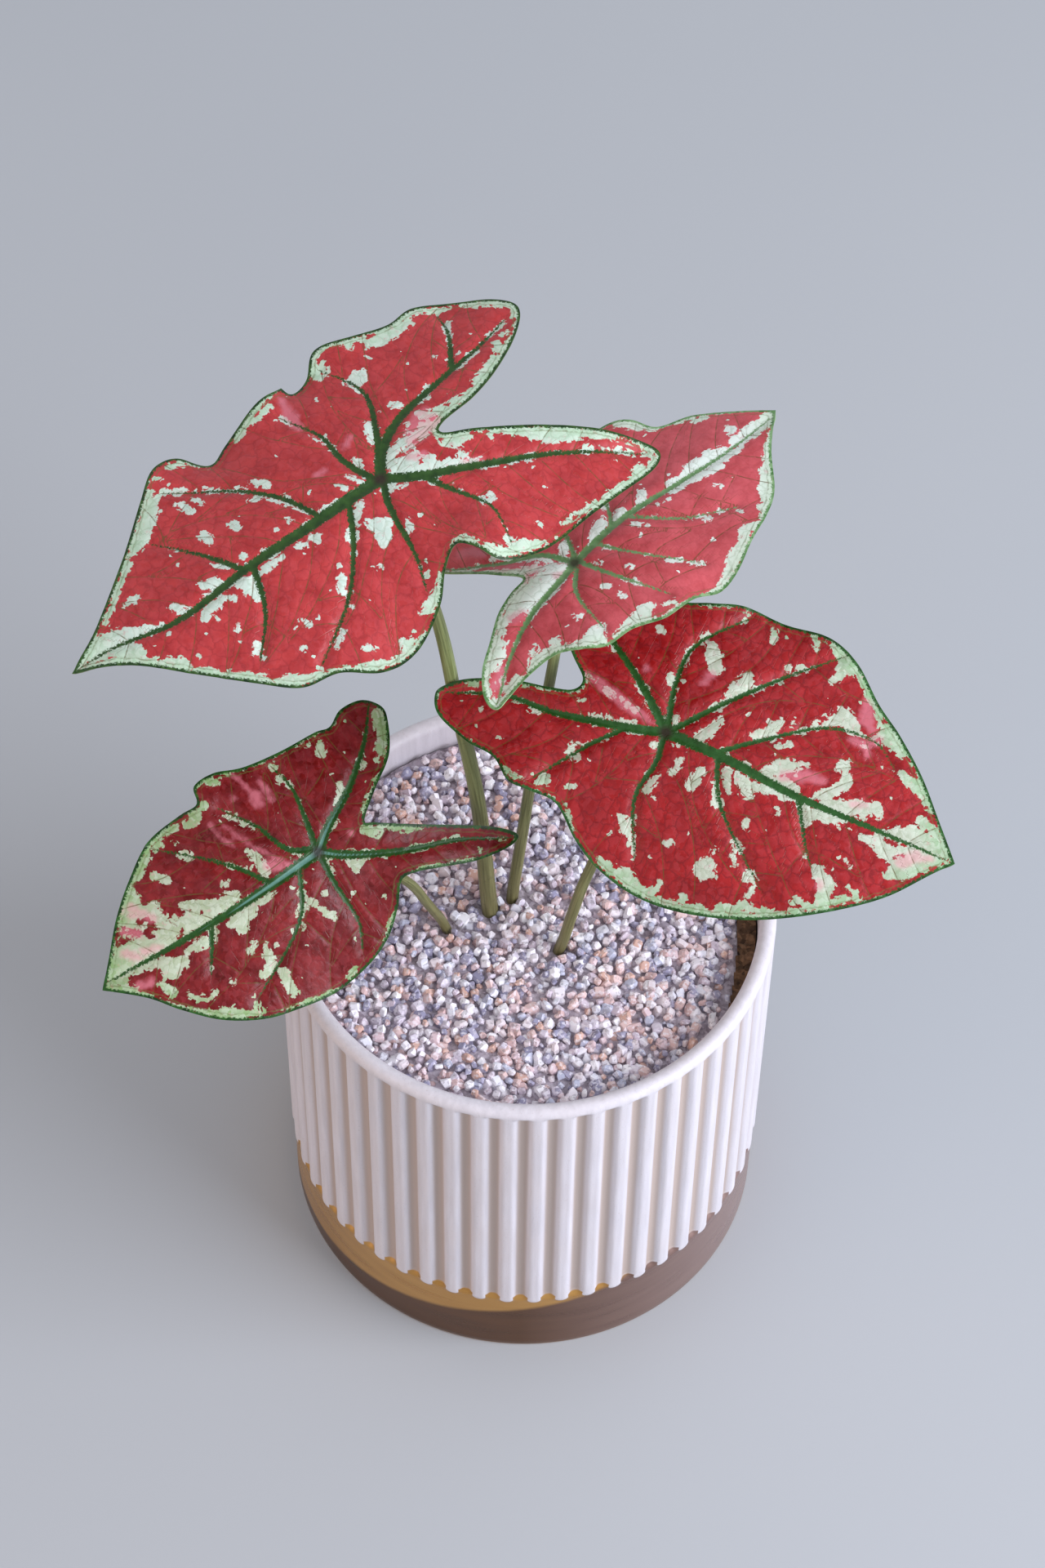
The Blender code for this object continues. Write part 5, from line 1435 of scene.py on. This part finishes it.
# %% What every layer of the skin reads
def skin_fields(tree):
    """The distances kept on the blade, and the patterns that more than one layer uses."""
    skin = SimpleNamespace()
    for name in ("vein", "thread", "rim", "cream", "pink"):
        setattr(skin, name, add(tree, "Attribute", {}, attribute_name=name).outputs["Fac"])
    skin.place = add(tree, "Attribute", {}, attribute_name="leaf").outputs["Vector"]
    skin.below = add(tree, "SeparateXYZ", {0: skin.place}).outputs["Z"]
    skin.line = add(tree, "Math", {0: skin.thread}, operation="ABSOLUTE")
    # Lumps 2 mm wide push the cells below about, so that none is straight.
    skin.wave = add(tree, "TexNoise", {"Vector": skin.place, "Scale": 0.5, "Detail": 4.0},
                    noise_dimensions="2D")
    lumps = skin.wave.outputs["Color"]
    shift = add(tree, "VectorMath", {0: lumps, 1: (2.4, 2.4, 0.0)}, operation="MULTIPLY")
    skin.bent = add(tree, "VectorMath", {0: skin.place, 1: shift}, operation="ADD")
    # Cells of flesh 1.2 mm across have three chances each, for layers to draw on.
    cells = add(tree, "TexVoronoi", {"Vector": skin.bent, "Scale": 0.85}, voronoi_dimensions="2D")
    skin.chance = add(tree, "SeparateColor", {0: cells.outputs["Color"]}).outputs
    # Veinlets part the blade into meshes 3 mm across.
    skin.mesh = add(tree, "TexVoronoi", {"Vector": skin.bent, "Scale": 0.3}, voronoi_dimensions="2D",
                    feature="DISTANCE_TO_EDGE")
    skin.lace = add(tree, "MapRange", {0: skin.mesh, 1: 0.10, 2: 0.01})
    # Clouds 7 mm wide, and a mottle 2 mm wide.
    cloud = add(tree, "TexNoise", {"Vector": skin.place, "Scale": 0.14, "Detail": 7.0, "Roughness": 0.7},
                noise_dimensions="2D")
    skin.cloud = add(tree, "MapRange", {0: cloud, 1: 0.36, 2: 0.64})
    skin.mottle = add(tree, "TexNoise", {"Vector": skin.place, "Scale": 0.5, "Detail": 5.0,
                                         "Roughness": 0.7}, noise_dimensions="2D")
    # Pink washes from their dabs, some of which are painted highlights.
    soft = add(tree, "Math", {0: skin.wave, 1: 2.0, 2: skin.pink}, operation="MULTIPLY_ADD")
    skin.wash = add(tree, "MapRange", {0: soft, 1: 0.4, 2: 2.2, 4: 0.7}, interpolation_type="SMOOTHSTEP")
    return skin


# %% Red flesh and cream flesh
def red_flesh(tree, skin, reds, net):
    """Two reds in soft clouds, darker along the veinlets, under the pink washes and painted highlights.
    """
    red = add(tree, "Mix", {0: skin.cloud, 1: reds[0], 2: reds[1]}, data_type="RGBA")
    rosier = add(tree, "MapRange", {0: skin.chance[1], 4: 0.14})
    red = add(tree, "Mix", {0: rosier, 1: red, 2: "#D0606A"}, data_type="RGBA")
    netted = add(tree, "Math", {0: skin.lace, 1: net}, operation="MULTIPLY")
    red = add(tree, "Mix", {0: netted, 1: red, 2: "#6A141A"}, data_type="RGBA")
    return add(tree, "Mix", {0: skin.wash, 1: red, 2: "#CC7480"}, data_type="RGBA")


def cream_flesh(tree, skin, creams):
    """Mint near the margin, whiter inside, and pink where it thins and under the pink dabs and painted
    highlights.
    """
    inward = add(tree, "MapRange", {0: skin.rim, 1: 0.5, 2: 7.0})
    pale = add(tree, "Mix", {0: inward, 1: creams[0], 2: creams[1]}, data_type="RGBA")
    greyer = add(tree, "Math", {0: skin.chance[2], 1: 0.35}, operation="MULTIPLY")
    pale = add(tree, "Mix", {0: greyer, 1: pale, 2: "#DDE4D8"}, data_type="RGBA")
    netted = add(tree, "Math", {0: skin.lace, 1: 0.3}, operation="MULTIPLY")
    pale = add(tree, "Mix", {0: netted, 1: pale, 2: "#86997A"}, data_type="RGBA")
    blush = add(tree, "MapRange", {0: skin.mottle, 1: 0.60, 2: 0.74, 4: 0.6})
    blush = add(tree, "Math", {0: skin.wash, 1: blush}, operation="MAXIMUM")
    return add(tree, "Mix", {0: blush, 1: pale, 2: "#D09A9E"}, data_type="RGBA")


def cream_share(tree, skin, hem_width):
    """Where the flesh is cream: in the dabs, in broken hems and in a few specks."""
    # A hem up to hem_width wide comes and goes along the margin, and a thin one along the veins.
    belt = add(tree, "TexNoise", {"Vector": skin.place, "Scale": 0.07}, noise_dimensions="2D")
    belt = add(tree, "MapRange", {0: belt, 1: 0.38, 2: 0.62, 3: -0.5, 4: hem_width})
    belt = add(tree, "Math", {0: belt, 1: skin.rim}, operation="SUBTRACT")
    hem = add(tree, "TexNoise", {"Vector": skin.place, "Scale": 0.16, "Detail": 3.0},
              noise_dimensions="2D")
    hem = add(tree, "MapRange", {0: hem, 1: 0.5, 2: 0.72, 3: -0.9, 4: 0.75})
    hem = add(tree, "Math", {0: hem, 1: skin.vein}, operation="SUBTRACT")
    cream = add(tree, "Math", {0: hem, 1: belt}, operation="MAXIMUM")
    cream = add(tree, "Math", {0: cream, 1: skin.cream}, operation="MAXIMUM")
    # Each cell of flesh takes a little more or less, which makes every edge ragged.
    jitter = add(tree, "MapRange", {0: skin.chance[0], 3: -0.35, 4: 0.75})
    grain = add(tree, "TexNoise", {"Vector": skin.place, "Scale": 1.8, "Detail": 3.0},
                noise_dimensions="2D")
    grain = add(tree, "MapRange", {0: grain, 3: -0.4, 4: 0.4})
    ragged = add(tree, "Math", {0: cream, 1: jitter}, operation="ADD")
    ragged = add(tree, "Math", {0: ragged, 1: grain}, operation="ADD")
    is_cream = add(tree, "MapRange", {0: ragged, 1: -0.1, 2: 0.12})
    # Loose specks of cream about 1 mm wide.
    dots = add(tree, "TexVoronoi", {"Vector": skin.bent, "Scale": 0.17}, voronoi_dimensions="2D")
    lucky = add(tree, "SeparateColor", {0: dots.outputs["Color"]}).outputs[0]
    size = add(tree, "MapRange", {0: lucky, 1: 0.6, 2: 1.0, 4: 0.12})
    dot = add(tree, "Math", {0: dots.outputs["Distance"], 1: size}, operation="LESS_THAN")
    return add(tree, "Math", {0: is_cream, 1: dot}, operation="MAXIMUM")


# %% Veins, rim, seat and underside
def thin_veins(tree, skin, flesh):
    """Olive side veins 0.3 mm wide, broken here and there, and one that follows the margin."""
    broken = add(tree, "MapRange", {0: skin.mottle, 1: 0.36, 2: 0.56, 3: 0.15, 4: 0.75})
    twig = add(tree, "MapRange", {0: skin.line, 1: 0.20, 2: 0.08})
    twig = add(tree, "Math", {0: twig, 1: broken}, operation="MULTIPLY")
    flesh = add(tree, "Mix", {0: twig, 1: flesh, 2: "#5B4A22"}, data_type="RGBA")
    # The one by the margin wanders, about 1.6 mm inside it.
    inner = add(tree, "Math", {0: skin.wave, 1: 1.2, 2: skin.rim}, operation="MULTIPLY_ADD")
    inner = add(tree, "Math", {0: inner, 1: 2.2}, operation="SUBTRACT")
    inner = add(tree, "Math", {0: inner}, operation="ABSOLUTE")
    follow = add(tree, "MapRange", {0: inner, 1: 0.26, 2: 0.10, 4: 0.7})
    follow = add(tree, "Math", {0: follow, 1: broken}, operation="MULTIPLY")
    return add(tree, "Mix", {0: follow, 1: flesh, 2: "#5E6434"}, data_type="RGBA")


def veins_and_rim(tree, skin, flesh, greens, vein_sheen):
    """Dark green veins with feathered sides, a painted bluish sky reflection on the thickest, and a rim
    of the same green.
    """
    feather = add(tree, "TexNoise", {"Vector": skin.place, "Scale": 1.5, "Detail": 5.0,
                                     "Roughness": 0.75}, noise_dimensions="2D")
    feather = add(tree, "MapRange", {0: feather, 1: 0.25, 2: 0.75, 3: -0.45, 4: 0.5})
    is_vein = add(tree, "Math", {0: skin.vein, 1: feather}, operation="ADD")
    is_vein = add(tree, "MapRange", {0: is_vein, 1: 0.12, 2: -0.08})
    # A painted bluish reflection of the sky can lie where a vein is thickest.
    painted_vein_sheen = add(tree, "MapRange", {0: skin.vein, 1: -0.7, 2: -1.05, 4: vein_sheen},
               interpolation_type="SMOOTHSTEP")
    green = add(tree, "Mix", {0: skin.wave, 1: greens[0], 2: greens[1]}, data_type="RGBA")
    green = add(tree, "Mix", {0: painted_vein_sheen, 1: green, 2: "#6E9E94"}, data_type="RGBA")
    flesh = add(tree, "Mix", {0: is_vein, 1: flesh, 2: green}, data_type="RGBA")
    # The rim is 0.7 mm wide, and its inner edge is as feathered as a vein's side.
    rim_edge = add(tree, "Math", {0: feather, 1: 1.2, 2: skin.rim}, operation="MULTIPLY_ADD")
    is_rim = add(tree, "MapRange", {0: rim_edge, 1: 0.85, 2: 0.62})
    rim_green = add(tree, "Mix", {0: skin.chance[1], 1: greens[0], 2: greens[1]}, data_type="RGBA")
    return add(tree, "Mix", {0: is_rim, 1: flesh, 2: rim_green}, data_type="RGBA")


def seat_and_underside(tree, skin, flesh):
    """A maroon spot 4 mm wide over the stalk's seat, and a grey green veil on the underside."""
    flat = add(tree, "VectorMath", {0: skin.place, 1: (1.0, 1.0, 0.0)}, operation="MULTIPLY")
    seat = add(tree, "VectorMath", {0: flat}, operation="LENGTH").outputs["Value"]
    seat = add(tree, "MapRange", {0: seat, 1: 2.4, 2: 0.8, 4: 0.8})
    flesh = add(tree, "Mix", {0: seat, 1: flesh, 2: "#2E1418"}, data_type="RGBA")
    veil = add(tree, "Math", {0: skin.below, 1: 0.45}, operation="MULTIPLY")
    return add(tree, "Mix", {0: veil, 1: flesh, 2: "#8F9078"}, data_type="RGBA")


# %% The whole skin
def leaf_material(name, reds, creams, greens, hem, shine, vein_sheen, net):
    """A leaf's skin. Each pair of tones is mixed: two reds, mint and cream, dark and light green."""
    material, tree = new_material(name, {"IOR": 1.42, "Specular IOR Level": shine})
    skin = skin_fields(tree)
    red = red_flesh(tree, skin, reds, net)
    pale = cream_flesh(tree, skin, creams)
    flesh = add(tree, "Mix", {0: cream_share(tree, skin, hem), 1: red, 2: pale}, data_type="RGBA")
    flesh = thin_veins(tree, skin, flesh)
    flesh = veins_and_rim(tree, skin, flesh, greens, vein_sheen)
    flesh = seat_and_underside(tree, skin, flesh)
    gloss = add(tree, "MapRange", {0: skin.cloud, 3: 0.28, 4: 0.42})
    gloss = add(tree, "Mix", {0: skin.below, 1: gloss, 2: 0.6})
    # The flesh swells between the thin veins and, half as much, between the veinlets.
    swell = add(tree, "MapRange", {0: skin.line, 2: 0.9}, interpolation_type="SMOOTHSTEP")
    small = add(tree, "MapRange", {0: skin.mesh, 2: 0.3, 4: 0.5}, interpolation_type="SMOOTHSTEP")
    swollen = add(tree, "Math", {0: swell, 1: small}, operation="ADD")
    relief = add(tree, "Math", {0: skin.mottle, 1: 0.6, 2: swollen}, operation="MULTIPLY_ADD")
    relief = add(tree, "Bump", {"Strength": 0.15 + 0.4 * net, "Distance": 0.00022, "Height": relief})
    return finish(material, {"Base Color": flesh, "Roughness": gloss, "Normal": relief})


# %% Make the blades
# hem is the cream hem's greatest width in millimetres. shine, vein_sheen and net tell how strongly the
# skin shines, how strongly its thick veins carry a painted reflection of the sky, and how its veinlets
# show.
LEAF_TONES = {
    "leaf_1": {"reds": ("#9E2829", "#B43636"), "creams": ("#A6C4A2", "#BCCEC0"),
               "greens": ("#0B2D08", "#34561F"), "hem": 2.0, "shine": 0.4, "vein_sheen": 0.0, "net": 0.28},
    "leaf_2": {"reds": ("#B4464A", "#CC5A60"), "creams": ("#C4D6BE", "#DEE8DE"),
               "greens": ("#45743A", "#86AA78"), "hem": 1.6, "shine": 0.3, "vein_sheen": 0.0, "net": 0.12},
    "leaf_3": {"reds": ("#860D0F", "#A01A1C"), "creams": ("#84AC7C", "#B2BCA6"),
               "greens": ("#0F3606", "#30602A"), "hem": 0.9, "shine": 0.35, "vein_sheen": 0.0, "net": 0.55},
    # leaf_4's tones are darker than the others', partly its own deeper red and partly painted shade, as
    # it hangs lowest.
    "leaf_4": {"reds": ("#540706", "#760E0D"), "creams": ("#7CA062", "#A4B090"),
               "greens": ("#0E2E0C", "#2C5A20"), "hem": 1.1, "shine": 0.3, "vein_sheen": 0.6, "net": 0.5},
}
for name, leaf in LEAVES.items():
    waxy_skin = leaf_material(name.replace("_", "") + "_waxy_skin", **LEAF_TONES[name])
    blade_piece(name, leaf, waxy_skin, random.Random(name))

# %% [markdown]
# ## Floor, light and camera
#
# The plant stands on a plain pale floor, matt so that it shows no reflection. A large soft light
# from the right front does most of the work, as a window would, and a weak warm one fills the
# left. A sun would give hard shadows that the photograph hasn't. The camera looks down at the
# plant from the place and angle of the photograph, with its depth of field off.

# %% Floor
def floor_material():
    material, tree = new_material("plain_pale_floor", {"Roughness": 0.85})
    place = add(tree, "TexCoord", {}).outputs["Object"]
    # Clouds 300 mm wide keep the floor from looking like paper.
    soft = add(tree, "TexNoise", {"Vector": place, "Scale": 3.0})
    tone = add(tree, "Mix", {0: soft, 1: "#A9ADB1", 2: "#AFB3B6"}, data_type="RGBA")
    return finish(material, {"Base Color": tone})


floor_bm = bmesh.new()
bmesh.ops.create_grid(floor_bm, x_segments=2, y_segments=2, size=3.0)
floor_mesh = bpy.data.meshes.new("floor")
floor_bm.to_mesh(floor_mesh)
floor_bm.free()
floor_mesh.materials.append(floor_material())
floor = bpy.data.objects.new("floor", floor_mesh)
bpy.context.scene.collection.objects.link(floor)

# %% Lights
def soft_light(name, place, target, size, watts, colour):
    """A square area light at a place, aimed at a target, both in metres."""
    lamp = bpy.data.lights.new(name, "AREA")
    lamp.size = size
    lamp.energy = watts
    lamp.color = linear(colour)[:3]
    obj = bpy.data.objects.new(name, lamp)
    obj.location = place
    aim = Vector(target) - Vector(place)
    obj.rotation_euler = aim.to_track_quat("-Z", "Y").to_euler()
    bpy.context.scene.collection.objects.link(obj)


soft_light("window", (1.1, -0.45, 0.7), (0.0, 0.0, 0.1), 1.0, 23.5, "#F2F4FF")
soft_light("warm_fill", (-1.0, -0.5, 0.35), (0.0, 0.0, 0.1), 0.8, 3.0, "#FFC080")
world = bpy.context.scene.world or bpy.data.worlds.new("studio")
bpy.context.scene.world = world
world.use_nodes = True
sky = world.node_tree.nodes["Background"].inputs
sky["Color"].default_value = linear("#E6E9F2")
sky["Strength"].default_value = 0.86
bpy.context.scene.view_settings.view_transform = "Standard"

# %% Camera
view = bpy.data.cameras.new("photo_view")
view.sensor_width = SENSOR
view.lens = LENS
view.clip_end = 20.0
camera = bpy.data.objects.new("photo_view", view)
turn = Matrix((RIGHT, ABOVE, -AHEAD)).transposed().to_4x4()
camera.matrix_world = Matrix.Translation(MM * EYE) @ turn
bpy.context.scene.collection.objects.link(camera)
bpy.context.scene.camera = camera
